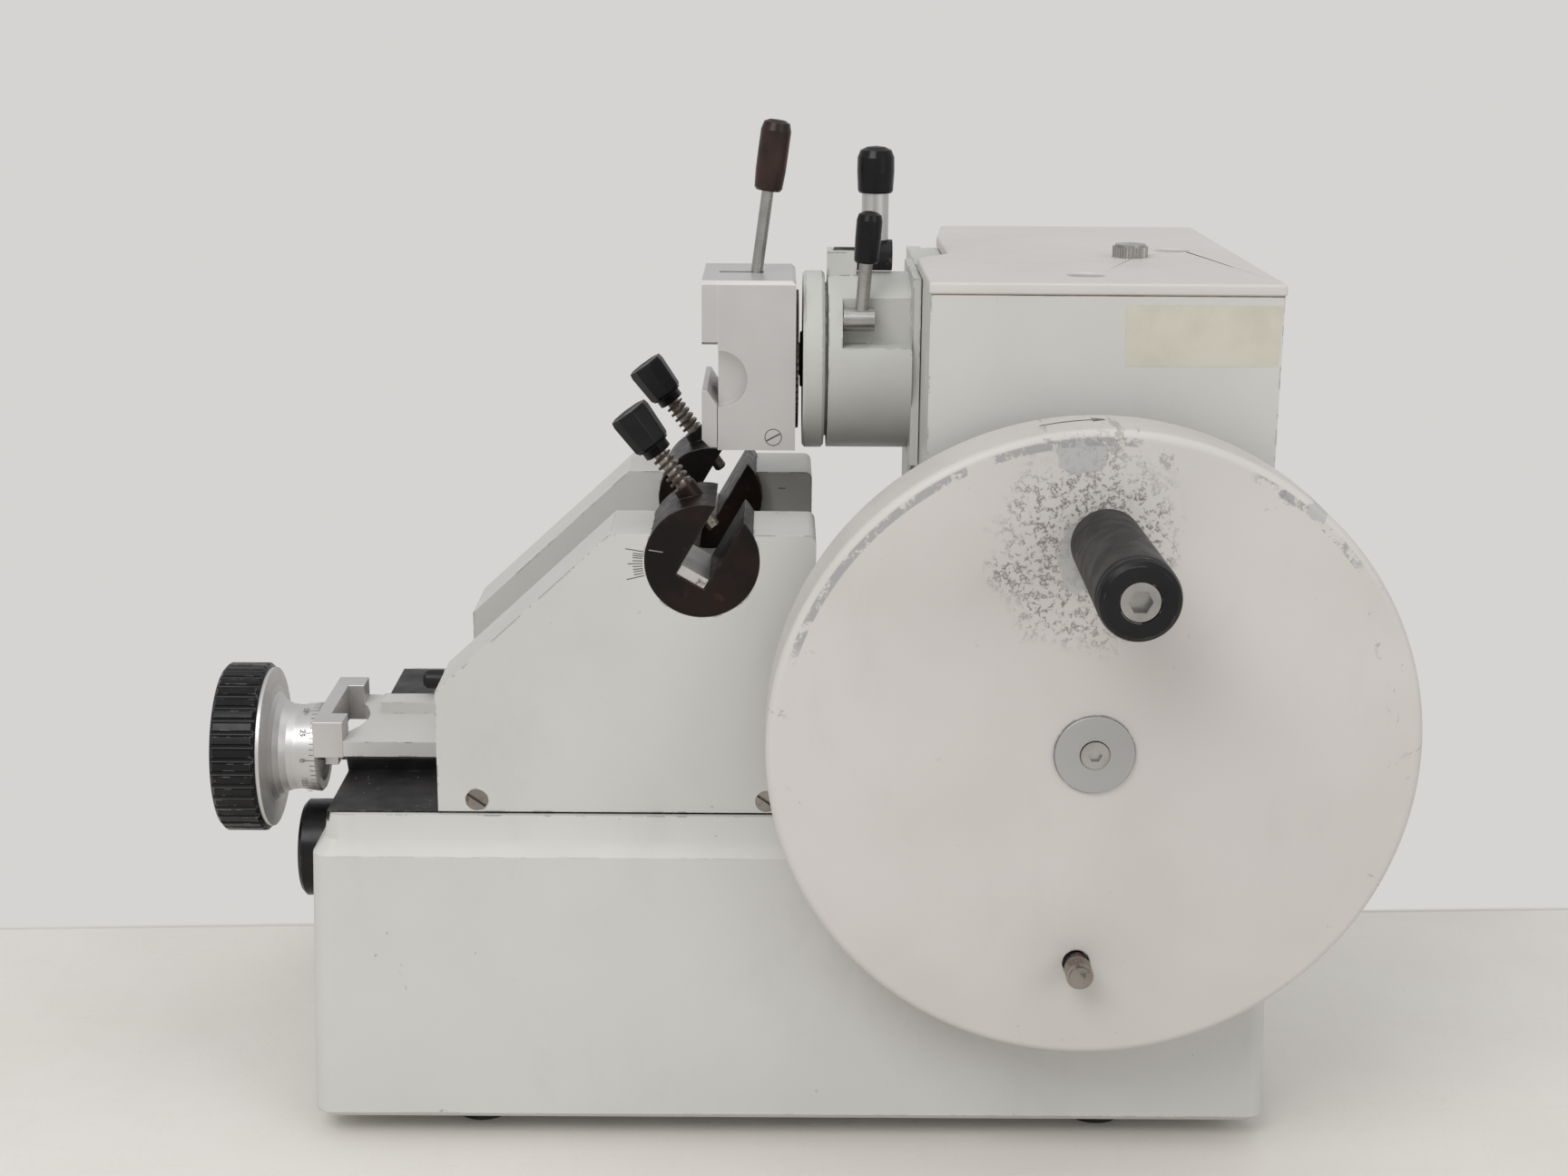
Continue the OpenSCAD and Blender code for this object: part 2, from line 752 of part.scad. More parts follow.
// Half plan of one guide strip, mirrored for the other side
guide_wide = 5;
function guide_outline(side) = [
  [recess_x, slide_y + side * (recess_y1 - recess_y0) / 2],
  [recess_x, slide_y + side * ((recess_y1 - recess_y0) / 2 - guide_wide)],
  [recess_x - guide_t, slide_y + side * ((recess_y1 - recess_y0) / 2 - guide_w)],
  [recess_x - guide_t, slide_y + side * (recess_y1 - recess_y0) / 2]
];

module slide_guides() {
  guide_dy = (recess_y1 - recess_y0) / 2 - 3;
  color(dark_steel)
    for (side = [-1, 1])
      difference() {
        translate([0, 0, base_top + 0.5])
          linear_extrude(housing_height - 1.5)
            polygon(guide_outline(side));
        for (z = guide_screw_zs) {
          rod_x(1.5 + screw_fit, recess_x - guide_t - over, recess_x + over, slide_y + side * guide_dy, z);
          rod_x(2.2 + screw_fit, recess_x - guide_t - over, recess_x - guide_t + 3,
            slide_y + side * guide_dy, z);
        }
      }
}

module bearing_housing() {
  color(alloy)
    difference() {
      union() {
        rod_y(tube_r, housing_y0, tube_y1, wheel_x, wheel_z);
        rod_y(flange_r, flange_y0, flange_y0 + flange_h, wheel_x, wheel_z);
      }
      rod_y(bearing_r + run_fit, housing_y0 - over, housing_y0 + bearing_w + 1, wheel_x, wheel_z);
      rod_y(bearing_r + run_fit, tube_y1 - bearing_w - 1, tube_y1 + over, wheel_x, wheel_z);
      rod_y(shaft_r + 2.5, housing_y0, tube_y1, wheel_x, wheel_z);
      for (a = [45 : 90 : 315])
        rod_y(2 + screw_fit, flange_y0 - over, flange_y0 + flange_h + over,
          wheel_x + 23.5 * cos(a), wheel_z + 23.5 * sin(a));
    }
}

module shaft_bearings() {
  color(steel)
    for (y = [housing_y0 + 1, tube_y1 - bearing_w - 1])
      difference() {
        rod_y(bearing_r, y, y + bearing_w, wheel_x, wheel_z);
        rod_y(shaft_r + run_fit, y - over, y + bearing_w + over, wheel_x, wheel_z);
      }
}

// ---------- handwheel ----------

module handwheel() {
  web_t = 9;
  rim_t = 15;
  hub_r = 26;
  edge = 3;
  rear = wheel_w;
  color(paint)
    difference() {
      union() {
        turned_y(
          concat(
            [[0, 0]],
            arc(wheel_r - edge, edge, edge, -90, 0, 6),
            arc(wheel_r - edge, rear - edge, edge, 0, 90, 6),
            [
              [wheel_r - rim_t, rear], [wheel_r - rim_t - 2, web_t], [hub_r + 2, web_t],
              [hub_r, rear], [0, rear]
            ]
          ),
          wheel_x, wheel_front, wheel_z
        );
        translate([wheel_x, 0, wheel_z])
          for (a = [30 : 60 : 330])
            rotate([0, a, 0])
              box([hub_r - 2, wheel_front + 1, -3.5], [wheel_r - rim_t + 1, wheel_rear - 8, 3.5]);
        intersection() {
          difference() {
            rod_y(wheel_r - rim_t, wheel_front + 1, wheel_rear - 3, wheel_x, wheel_z);
            rod_y(58, wheel_front, wheel_rear, wheel_x, wheel_z);
          }
          side_shape(
            [[wheel_x, wheel_z], [wheel_x - 90, wheel_z - 140], [wheel_x + 90, wheel_z - 140]],
            wheel_front + 1, wheel_rear - 3
          );
        }
        rod_y(12, wheel_front + 1, wheel_rear - 8, wheel_x, handle_z);
      }
      rod_y(shaft_r + run_fit, wheel_front + 4, wheel_rear + over, wheel_x, wheel_z);
      rod_y(14.4, wheel_front - over, wheel_front + 4.2, wheel_x, wheel_z);
      rod_y(6 + run_fit, wheel_front - over, wheel_rear - 6, wheel_x, handle_z);
      rod_y(lock_pin_r + run_fit, wheel_front + 2, wheel_rear + over, lock_x, lock_z);
      rod_y(5 + run_fit, wheel_front - over, wheel_rear - 8, lock_x, lock_z);
    }
}

module main_shaft() {
  color(steel)
    difference() {
      rod_y(shaft_r, wheel_front + 4.3, crank_y0 + crank_t, wheel_x, wheel_z);
      rod_y(3 + screw_fit, wheel_front + 4, wheel_front + 28, wheel_x, wheel_z);
    }
}

module hub_disc() {
  color(alloy)
    difference() {
      rod_y(14.3, wheel_front - 1.6, wheel_front + 4.2, wheel_x, wheel_z);
      rod_y(5.2, wheel_front - 3, wheel_front + 0.5, wheel_x, wheel_z);
      rod_y(3 + screw_fit, wheel_front - 3, wheel_front + 5, wheel_x, wheel_z);
    }
}

module hub_screw() {
  color(steel)
    translate([wheel_x, wheel_front + 0.5, wheel_z])
      rotate([-90, 0, 0])
        socket_screw(5.1, 2.6, 3, hub_screw_l);
}

module crank_disc() {
  color(steel)
    difference() {
      union() {
        rod_y(crank_r, crank_y0, crank_y0 + crank_t, wheel_x, wheel_z);
        rod_y(crank_pin_r, crank_y0 + 1, pin_y1, wheel_x, wheel_z + crank_radius);
        side_shape(
          [
            [wheel_x - crank_r - 1.5, wheel_z - 3], [wheel_x - crank_r - 1.5, wheel_z + 3],
            [wheel_x - crank_r + 4, wheel_z + 7], [wheel_x - crank_r + 4, wheel_z - 7]
          ],
          crank_y0 + 1, crank_y0 + crank_t - 1
        );
      }
      rod_y(shaft_r + run_fit, crank_y0 - over, crank_y0 + crank_t + over, wheel_x, wheel_z);
    }
}

module crank_roller() {
  color(alloy)
    difference() {
      rod_y(roller_r, crank_y0 + crank_t + 0.3, pin_y1 - 0.2, wheel_x, wheel_z + crank_radius);
      rod_y(crank_pin_r + run_fit, crank_y0, pin_y1 + over, wheel_x, wheel_z + crank_radius);
    }
}

grip_y0 = handle_tip + 5.6;
grip_y1 = wheel_front - 3;

module handle_bolt() {
  color(steel)
    difference() {
      union() {
        rod_y(6, handle_tip + 6, wheel_rear - 6.2, wheel_x, handle_z);
        rod_y(6.4, handle_tip + 0.5, handle_tip + 7, wheel_x, handle_z);
        rod_y(9, grip_y1 + 0.3, wheel_front, wheel_x, handle_z);
      }
      translate([wheel_x, handle_tip - over, handle_z])
        rotate([-90, 0, 0])
          cylinder(r = 4, h = 5, $fn = 6);
    }
}

module handle_grip() {
  root_r = handle_r - 1.1;
  length = grip_y1 - grip_y0;
  color(dark_steel)
    difference() {
      turned_y(
        [
          [0, 0], [handle_r - 0.4, 0], [handle_r, 1.5], [root_r, length - 4],
          [root_r - 2.5, length], [0, length]
        ],
        wheel_x, grip_y0, handle_z
      );
      rod_y(6 + run_fit, grip_y0 - over, grip_y1 + over, wheel_x, handle_z);
      rod_y(6.4 + slide_gap, grip_y0 - over, handle_tip + 7.5, wheel_x, handle_z);
    }
}

module handle_cap() {
  color(black)
    difference() {
      turned_y(
        [[0, 0], [handle_r - 2, 0], [handle_r - 0.6, 1.2], [handle_r, 3], [handle_r - 0.4, 5.6], [0, 5.6]],
        wheel_x, handle_tip, handle_z
      );
      rod_y(6.4 + slide_gap, handle_tip - over, handle_tip + 6.6, wheel_x, handle_z);
    }
}

module lock_pin() {
  color(steel) {
    rod_y(lock_pin_r, wheel_front - 13, wheel_rear - 0.3, lock_x, lock_z);
    rod_y(4.9, wheel_front - 12, wheel_front - 5, lock_x, lock_z);
    rod_y(4.9, wheel_front + 4.2, wheel_front + 10, lock_x, lock_z);
  }
}

// ---------- vertical slide and head ----------

slide_z0 = wheel_z + crank_radius - 6.7;
slide_z1 = housing_z1;
web_z0 = wheel_z + crank_radius - 6;
drum_screw_dy = 24.5;
drum_screw_y = line_y + drum_screw_dy;
drum_screw_bite = 9.4;

module vertical_slide() {
  half = (recess_y1 - recess_y0) / 2;
  front_x = recess_x - guide_t - 0.3;
  color(paint)
    difference() {
      translate([0, 0, slide_z0])
        linear_extrude(slide_z1 - slide_z0)
          polygon([
            [slide_x0, slide_y - half + 1], [front_x, slide_y - half + 1],
            [front_x, slide_y - half + guide_w + slide_gap],
            [slide_x1, slide_y - half + guide_wide + slide_gap + 0.2],
            [slide_x1, slide_y + half - guide_wide - slide_gap - 0.2],
            [front_x, slide_y + half - guide_w - slide_gap],
            [front_x, slide_y + half - 1], [slide_x0, slide_y + half - 1]
          ]);
      for (z = [head_z - 12, head_z + 12]) {
        rod_x(2 + screw_fit, slide_x0 - over, slide_x1 + over, drum_screw_y, z);
        rod_x(3.6 + screw_fit, slide_x1 - 3.4, slide_x1 + over, drum_screw_y, z);
      }
      for (z = [web_z0 + 5, web_z0 + 13]) {
        rod_x(1.6 + screw_fit, slide_x0 - over, slide_x1 + over, yoke_plane + 4, z);
        rod_x(3 + screw_fit, slide_x0 - over, slide_x0 + 3, yoke_plane + 4, z);
      }
    }
}

module slide_plate() {
  color(dark_steel)
    difference() {
      box([plate_x0, line_y - 31.5, head_z - 36], [slide_x0, line_y + 31.5, slide_z1 - 0.2]);
      for (z = [head_z - 12, head_z + 12])
        rod_x(2 + screw_fit, plate_x0 - over, slide_x0 + over, drum_screw_y, z);
    }
}

module slide_screws() {
  color(steel) {
    for (z = [head_z - 12, head_z + 12])
      translate([slide_x1 - 3.4, drum_screw_y, z])
        rotate([0, -90, 0])
          socket_screw(3.6, 3.2, 2, slide_x1 - 3.4 - plate_x0 + drum_screw_bite);
    for (z = [web_z0 + 5, web_z0 + 13])
      translate([slide_x0 + 3, yoke_plane + 4, z])
        rotate([0, 90, 0])
          socket_screw(3, 2.8, 1.6, slide_x1 - slide_x0 + 3);
  }
}

module crank_yoke() {
  y1 = yoke_plane + yoke_plate_t;
  z = wheel_z + crank_radius;
  reach = crank_radius + roller_r + 1;
  color(alloy)
    difference() {
      union() {
        box([recess_x + housing_wall + 1, yoke_plane, z - 13.5], [wheel_x + reach + 4, y1, z + 13.5]);
        box([slide_x1, yoke_plane, web_z0], [recess_x + housing_wall + 2, y1, web_z0 + 19.5]);
      }
      box([wheel_x - reach + 4, yoke_plane - over, z - roller_r - run_fit],
        [wheel_x + reach - 4, y1 + over, z + roller_r + run_fit]);
      for (side = [-1, 1])
        rod_y(roller_r + run_fit, yoke_plane - over, y1 + over, wheel_x + side * (reach - 8), z);
      for (z = [web_z0 + 5, web_z0 + 13])
        rod_x(1.6 + screw_fit, slide_x1 - over, slide_x1 + 6.5, yoke_plane + 4, z);
    }
}

pin_y = line_y - 25;
pin_z = head_z + 18;
lug_y = line_y + 1.5;
lug_z = head_z + drum_r + 6.4;
lug_x1 = drum_x0 + 11.2;
window_x0 = drum_x0 + 5.4;
spigot_r = 20;
spigot_l = 6.2;

module head_drum() {
  color(paint)
    difference() {
      union() {
        rod_x(drum_r, drum_x0, plate_x0, line_y, head_z);
        box([drum_x0, lug_y - 8.5, head_z], [lug_x1, lug_y + 8.5, lug_z + 2]);
      }
      rod_x(spigot_r + run_fit, drum_x0 - over, drum_x0 + spigot_l + 0.3, line_y, head_z);
      rod_x(ball_r + 1, drum_x0, ball_x + ball_r + 1.5, line_y, head_z);
      box([window_x0, line_y - 40, head_z + 9.5], [plate_x0 - 0.2, line_y - 21.5, head_z + 50]);
      rod_x(2.4 + run_fit, drum_x0 + 0.7, window_x0 + over, pin_y, pin_z);
      rod_x(3 + run_fit, drum_x0 + 2, lug_x1 + over, lug_y, lug_z);
      for (z = [head_z - 12, head_z + 12])
        rod_x(2 + screw_fit, plate_x0 - drum_screw_bite - 0.3, plate_x0 + over, drum_screw_y, z);
    }
}

near_lean = 4;
near_rod_l = 25;

module near_lever() {
  rod_x0 = window_x0 + 7;
  color(steel) {
    rod_x(2.4, drum_x0 + 1, window_x0 + 1, pin_y, pin_z);
    rod_x(4.4, window_x0 + 0.3, window_x0 + 12, pin_y - 2, pin_z + 1.5);
    translate([rod_x0, pin_y - 2, pin_z + 1.5])
      rotate([0, near_lean, 0])
        cylinder(r = 2.6, h = near_rod_l);
  }
}

module near_lever_knob() {
  color(black)
    translate([window_x0 + 7, pin_y - 2, pin_z + 1.5])
      rotate([0, near_lean, 0])
        translate([0, 0, near_rod_l - 3.5])
          difference() {
            rotate_extrude($fn = 64)
              polygon([
                [0, 0], [4, 0], [4.6, 0.8], [4.9, 9], [4.9, 16], [4.3, 18.2], [2.5, 19.2], [0, 19.5]
              ]);
            translate([0, 0, -over])
              cylinder(r = 2.6 + run_fit, h = over + 3.6);
          }
}

module far_lever() {
  hub_x0 = lug_x1 + 0.2;
  color(alloy) {
    rod_x(3, drum_x0 + 2.5, hub_x0 + 1, lug_y, lug_z);
    rod_z(5.2, lug_z + 3, lug_z + 24, hub_x0 + 6.8, lug_y);
  }
  color(dark_steel)
    difference() {
      rod_x(6, hub_x0, hub_x0 + 13.6, lug_y, lug_z);
      rod_z(5.2, lug_z + 3, lug_z + 24, hub_x0 + 6.8, lug_y);
    }
}

module far_lever_knob() {
  hub_x0 = lug_x1 + 0.2;
  color(black)
    translate([hub_x0 + 6.8, lug_y, lug_z + 24])
      rotate_extrude($fn = 64)
        polygon([
          [0, 0], [6.2, 0], [6.8, 0.8], [7.2, 8], [7.1, 13.5], [6, 16.2], [3.5, 17.4], [0, 17.8]
        ]);
}

module orientation_flange() {
  color(paint)
    difference() {
      union() {
        turned_x(
          [
            [0, 0], [drum_r - 0.8, 0], [drum_r + 0.2, 1], [drum_r + 0.2, flange_t - 1],
            [drum_r - 0.8, flange_t], [0, flange_t]
          ],
          flange_x0, line_y, head_z
        );
        rod_x(30, flange_x1 - over, drum_x0 - slide_gap, line_y, head_z);
        rod_x(spigot_r, flange_x1 - over, drum_x0 + spigot_l, line_y, head_z);
      }
      translate([ball_x, line_y, head_z])
        rotate([0, 90, 0])
          sphere(r = ball_r + run_fit, $fn = 64);
    }
}

module ball_stud() {
  teeth = toothed(27, 0.6, 60, 0.5);
  color(steel) {
    difference() {
      translate([ball_x, line_y, head_z])
        rotate([0, 90, 0])
          sphere(r = ball_r, $fn = 64);
      box([ball_x - 2 * ball_r, line_y - ball_r, head_z - ball_r],
        [flange_x0 - 1, line_y + ball_r, head_z + ball_r]);
    }
    rod_x(6.5, clamp_x1 + 0.1, ball_x, line_y, head_z);
    rod_x(5, clamp_x1 - 14, clamp_x1 + 1, line_y, head_z);
    translate([clamp_x1, line_y, head_z])
      rotate([90, 0, 90])
        linear_extrude(ring_t)
          polygon(teeth);
  }
}

module clamp_body() {
  bevel = 1.5;
  y0 = line_y - clamp_w / 2;
  y1 = line_y + clamp_w / 2;
  color(alloy)
    difference() {
      intersection() {
        side_shape(
          [
            [clamp_x0, clamp_z0], [clamp_x1, clamp_z0], [clamp_x1, clamp_z1 - bevel],
            [clamp_x1 - bevel, clamp_z1], [clamp_x0, clamp_z1]
          ],
          y0, y1
        );
        end_shape(
          [
            [y0, clamp_z0], [y1, clamp_z0], [y1, clamp_z1 - bevel], [y1 - bevel, clamp_z1],
            [y0 + bevel, clamp_z1], [y0, clamp_z1 - bevel]
          ],
          clamp_x0 - over, clamp_x1 + over
        );
      }
      rod_x(5 + run_fit, clamp_x1 - 14.5, clamp_x1 + over, line_y, head_z);
      rod_y(11, y0 - over, y0 + 8, clamp_x0 + 0.4, head_z - 3.5);
      box([clamp_x0 - over, line_y - lever_slot_w / 2 - 0.3, pivot_z - 6],
        [clamp_x0 + 17.2, line_y + lever_slot_w / 2 + 0.3, clamp_z1 + over]);
      rod_y(2.5 + run_fit, line_y - 16, line_y + 16, pivot_x, pivot_z);
      box([clamp_x0 - over, line_y - 8, clamp_z0 - over], [clamp_x0 + 5.3, line_y + 8, clamp_z0 + 21.5]);
      for (dy = [-17, 17])
        rod_x(2 + screw_fit, clamp_x0 - over, clamp_x0 + 10, line_y + dy, clamp_z1 - 12);
      rod_y(3 + run_fit, y0 - over, y0 + 9, clamp_x1 - 8.4, clamp_z0 + 5.1);
    }
  color(steel)
    rod_y(3, y0, y0 + 8.5, clamp_x1 - 8.4, clamp_z0 + 5.1);
}

module upper_jaw() {
  bevel = 1.5;
  y0 = line_y - clamp_w / 2;
  y1 = line_y + clamp_w / 2;
  z0 = head_z + 9.7;
  color(alloy)
    difference() {
      end_shape(
        [
          [y0, z0 + 1], [y0 + 1, z0], [y1 - 1, z0], [y1, z0 + 1], [y1, clamp_z1 - bevel],
          [y1 - bevel, clamp_z1], [y0 + bevel, clamp_z1], [y0, clamp_z1 - bevel]
        ],
        jaw_x0, clamp_x0
      );
      for (dy = [-17, 17])
        rod_x(2 + screw_fit, jaw_x0 - over, clamp_x0 + over, line_y + dy, clamp_z1 - 12);
    }
  color(steel)
    for (dy = [-17, 17])
      rod_x(2, jaw_x0 + 0.3, clamp_x0 + 9, line_y + dy, clamp_z1 - 12);
}

module lower_jaw() {
  y0 = line_y - clamp_w / 2;
  y1 = line_y + clamp_w / 2;
  gap = 0.2;
  color(alloy) {
    side_shape(
      [
        [jaw_x0, clamp_z0 + 4], [jaw_x0 + 3, clamp_z0 + 1], [clamp_x0 - gap, clamp_z0 + 1],
        [clamp_x0 - gap, clamp_z0 + 17], [jaw_x0 + 2, clamp_z0 + 23], [jaw_x0, clamp_z0 + 23]
      ],
      y0, y1
    );
    box([clamp_x0 - 1, line_y - 7.7, clamp_z0 + 4.3], [clamp_x0 + 5, line_y + 7.7, clamp_z0 + 16]);
  }
}

module clamp_lever() {
  w = lever_slot_w / 2;
  color(steel) {
    rod_y(2.5, line_y - 15.5, line_y + 15.5, pivot_x, pivot_z);
    translate([pivot_x, line_y, pivot_z])
      rotate([0, lever_lean, 0]) {
        cylinder(r = 2.3, h = lever_length - 26);
        translate([-4.2, -w, -3.8])
          cube([8.4, 2 * w, 14]);
      }
  }
}

module clamp_lever_grip() {
  color(brown)
    translate([pivot_x, line_y, pivot_z])
      rotate([0, lever_lean, 0])
        translate([0, 0, lever_length - 27])
          difference() {
            rotate_extrude($fn = 64)
              polygon([
                [0, 0], [4.6, 0], [5.4, 1], [5.85, 8], [5.85, 23], [5, 26], [3, 27], [0, 27.2]
              ]);
            translate([0, 0, -over])
              cylinder(r = 2.3 + run_fit, h = over + 1.2);
          }
}

// ---------- knife carriage ----------

module carriage_plate() {
  notch_r = 33;
  color(paint)
    difference() {
      union() {
        box([cheek_x0, near_inner, carriage_z0], [cheek_rear, far_inner, carriage_z1]);
        difference() {
          box([tongue_x0, line_y - rail_w / 2, tongue_z0],
            [cheek_x0 + over, line_y + rail_w / 2, tongue_z1]);
          rod_z(notch_r, tongue_z0 - over, tongue_z1 + over, tongue_x0 - notch_r + 5, line_y);
        }
        box([tongue_x0 + 9, line_y + 5.5, tongue_z0 + 1], [cheek_x0 + over, line_y + 17.5, tongue_z1 + 4.8]);
      }
      end_shape(rail_outline(slide_gap), cheek_x0 - over, cheek_rear + over);
      rod_z(3.5 + run_fit, tongue_z1, carriage_z1 + over, cheek_x0 + 8, line_y + 14.5);
      for (x = cheek_screw_xs)
        rod_y(cheek_screw_r + screw_fit, near_inner - over, far_inner + over, x, cheek_screw_z);
      for (y = yoke_screw_ys)
        rod_x(1.5 + screw_fit, tongue_x0 - over, tongue_x0 + 9, y, tongue_z0 + 3.2);
    }
}

yoke_screw_ys = [line_y - 24.5, line_y + 24.5];

// Side view of a cheek, with a rounded upper rear corner
function cheek_outline() = concat(
  [[cheek_x0, carriage_z0], [cheek_rear, carriage_z0]],
  arc(cheek_rear - 3, cheek_top - 3, 3, 0, 90, 6),
  [[cheek_crest_x, cheek_top], [cheek_x0, cheek_front_z]]
);

module cheek(y0, y1, head_y) {
  color(paint)
    difference() {
      side_shape(cheek_outline(), y0, y1);
      rod_y(holder_r + run_fit, y0 - over, y1 + over, holder_x, holder_z);
      for (x = cheek_screw_xs) {
        rod_y(cheek_screw_r + screw_fit, y0 - over, y1 + over, x, cheek_screw_z);
        rod_y(cheek_screw_head_r + screw_fit, head_y - 4.5, head_y + 4.5, x, cheek_screw_z);
      }
    }
}

module near_cheek() {
  cheek(near_face, near_inner, near_face);
}

module far_cheek() {
  cheek(far_inner, far_face, far_face);
}

// Slotted screw along +Z with its head's top at 0
module slotted_screw(head_r, head_h, shank_r, length) {
  difference() {
    union() {
      cylinder(r = head_r, h = head_h);
      cylinder(r = shank_r, h = length);
    }
    translate([-head_r - over, -0.6, -over])
      cube([2 * head_r + 2 * over, 1.2, over + 1.4]);
  }
}

module carriage_screws() {
  length = cheek_t + 3.8;
  color(steel) {
    for (x = cheek_screw_xs) {
      translate([x, near_face + 0.2, cheek_screw_z])
        rotate([-90, 0, 0])
          rotate([0, 0, 35])
            slotted_screw(cheek_screw_head_r, 4.3, cheek_screw_r, length);
      translate([x, far_face - 0.2, cheek_screw_z])
        rotate([90, 0, 0])
          rotate([0, 0, 70])
            slotted_screw(cheek_screw_head_r, 4.3, cheek_screw_r, length);
    }
    for (y = yoke_screw_ys)
      translate([yoke_x0 + 3.4, y, tongue_z0 + 3.2])
        rotate([0, 90, 0])
          socket_screw(2.8, 2.6, 1.5, yoke_t + 4.6);
  }
}

module yoke_bracket() {
  color(alloy)
    difference() {
      union() {
        for (y = [line_y - yoke_w / 2, line_y + yoke_w / 2 - yoke_arm_w])
          box([yoke_x0, y, yoke_z0], [tongue_x0, y + yoke_arm_w, yoke_z1]);
        box([yoke_x0, line_y - yoke_w / 2, yoke_z0],
          [yoke_x0 + yoke_bar_t, line_y + yoke_w / 2, yoke_z1]);
        box([yoke_x0, line_y - 8.5, spindle_z - 5], [yoke_x0 + yoke_bar_t, line_y + 8.5, yoke_z0 + 1]);
      }
      rod_x(neck_r + screw_fit, yoke_x0 - over, yoke_x0 + yoke_bar_t + over, line_y, spindle_z);
      box([yoke_x0 - over, line_y - neck_r - screw_fit, spindle_z - 10],
        [yoke_x0 + yoke_bar_t + over, line_y + neck_r + screw_fit, spindle_z]);
      for (y = yoke_screw_ys) {
        rod_x(1.5 + screw_fit, yoke_x0 - over, tongue_x0 + over, y, tongue_z0 + 3.2);
        rod_x(2.8 + screw_fit, yoke_x0 - over, yoke_x0 + 3.4, y, tongue_z0 + 3.2);
      }
    }
}

module carriage_lock() {
  x = cheek_x0 + 8;
  y = line_y + 14.5;
  z = carriage_z1 + 6.7;
  color(alloy)
    rod_x(4.1, x - 17.5, x - 14.6, y, z);
  color(steel) {
    rod_z(3.5, tongue_z1 + 0.5, z, x, y);
    rod_z(7, carriage_z1 + 0.2, carriage_z1 + 11, x, y);
    rod_x(2, x - 20, x, y, z);
  }
  color(black)
    difference() {
      turned_x([[0, 0], [3.4, 0], [4.2, 1.2], [4.2, 8.5], [0, 8.5]], x - 26, y, z);
      rod_x(2, x - 20, x, y, z);
    }
}

// ---------- micrometer and feed ----------

module micrometer_grip() {
  depth = 1.1;
  bore = 25;
  color(black)
    difference() {
      turned_x(
        [
          [0, 0], [grip_r - 1.5, 0], [grip_r, 1.5], [grip_r, grip_w - 1.5],
          [grip_r - 1.5, grip_w], [0, grip_w]
        ],
        grip_x0, line_y, spindle_z
      );
      for (i = [0 : grip_grooves - 1])
        translate([grip_x0 - over, line_y, spindle_z])
          rotate([360 * i / grip_grooves, 0, 0])
            translate([0, 0, grip_r + 1.3 - depth])
              rotate([0, 90, 0])
                cylinder(r = 1.3, h = grip_w + 2 * over, $fn = 16);
      rod_x(bore, grip_x0 + 4, grip_x1 + over, line_y, spindle_z);
      rod_x(3 + screw_fit, grip_x0 - over, grip_x0 + 5, line_y, spindle_z);
    }
}

module micrometer_dial() {
  x0 = grip_x0 + 4;
  flange = grip_x1 - x0;
  cone = flange + 2.2;
  length = dial_x1 - x0;
  color(alloy)
    difference() {
      turned_x(
        concat(
          [
            [0, 0], [24.9, 0], [24.9, flange], [32.5, flange], [32.5, flange + 1.4],
            [25, cone]
          ],
          [for (i = [1 : 5]) [25 - 7.7 * sin(18 * i), cone + 9.6 - 9.6 * cos(18 * i)]],
          [
            [collar_r - 0.9, cone + 10.6], [collar_r, length - 0.8], [collar_r - 0.8, length],
            [14, length], [14, length - 2.5], [0, length - 2.5]
          ]
        ),
        x0, line_y, spindle_z
      );
      rod_x(lead_screw_r + run_fit, x0 + 4, dial_x1 + over, line_y, spindle_z);
      rod_x(3 + screw_fit, x0 - over, x0 + 5, line_y, spindle_z);
    }
}

module lead_screw() {
  shoulder = 5.5;
  color(steel)
    difference() {
      union() {
        rod_x(lead_screw_r, grip_x0 + 8.5, yoke_x0 - 1, line_y, spindle_z);
        rod_x(3, grip_x0 + 0.6, grip_x0 + 9.5, line_y, spindle_z);
        rod_x(shoulder, dial_x1 - 2, yoke_x0 - 0.2, line_y, spindle_z);
        rod_x(neck_r, yoke_x0 - 1, yoke_x0 + yoke_bar_t + 1, line_y, spindle_z);
        rod_x(shoulder, yoke_x0 + yoke_bar_t + 0.2, yoke_x0 + yoke_bar_t + 2, line_y, spindle_z);
        rod_x(lead_screw_r, yoke_x0 + yoke_bar_t + 1, lead_screw_x1, line_y, spindle_z);
      }
      box([recess_x - 30, line_y - 10, spindle_z + lead_screw_r - 0.8],
        [lead_screw_x1 + over, line_y + 10, spindle_z + lead_screw_r + over]);
    }
}

module thickness_knob() {
  x1 = base_x0 + 1;
  x0 = x1 - thickness_knob_w;
  color(black)
    difference() {
      turned_x(
        [
          [0, 0], [thickness_knob_r - 1.5, 0], [thickness_knob_r, 1.5],
          [thickness_knob_r, thickness_knob_w - 1], [thickness_knob_r - 1, thickness_knob_w],
          [0, thickness_knob_w]
        ],
        x0, line_y, thickness_z
      );
      rod_x(4 + run_fit, x0 + 5, x1 + over, line_y, thickness_z);
    }
}

cam_r = 11;
module thickness_shaft() {
  color(steel) {
    rod_x(4, base_x0 + 1 - thickness_knob_w + 5.2, steady_x0 + steady_t, line_y, thickness_z);
    rod_x(cam_r, arm_x0, arm_x0 + arm_t, line_y + 3, thickness_z);
  }
}

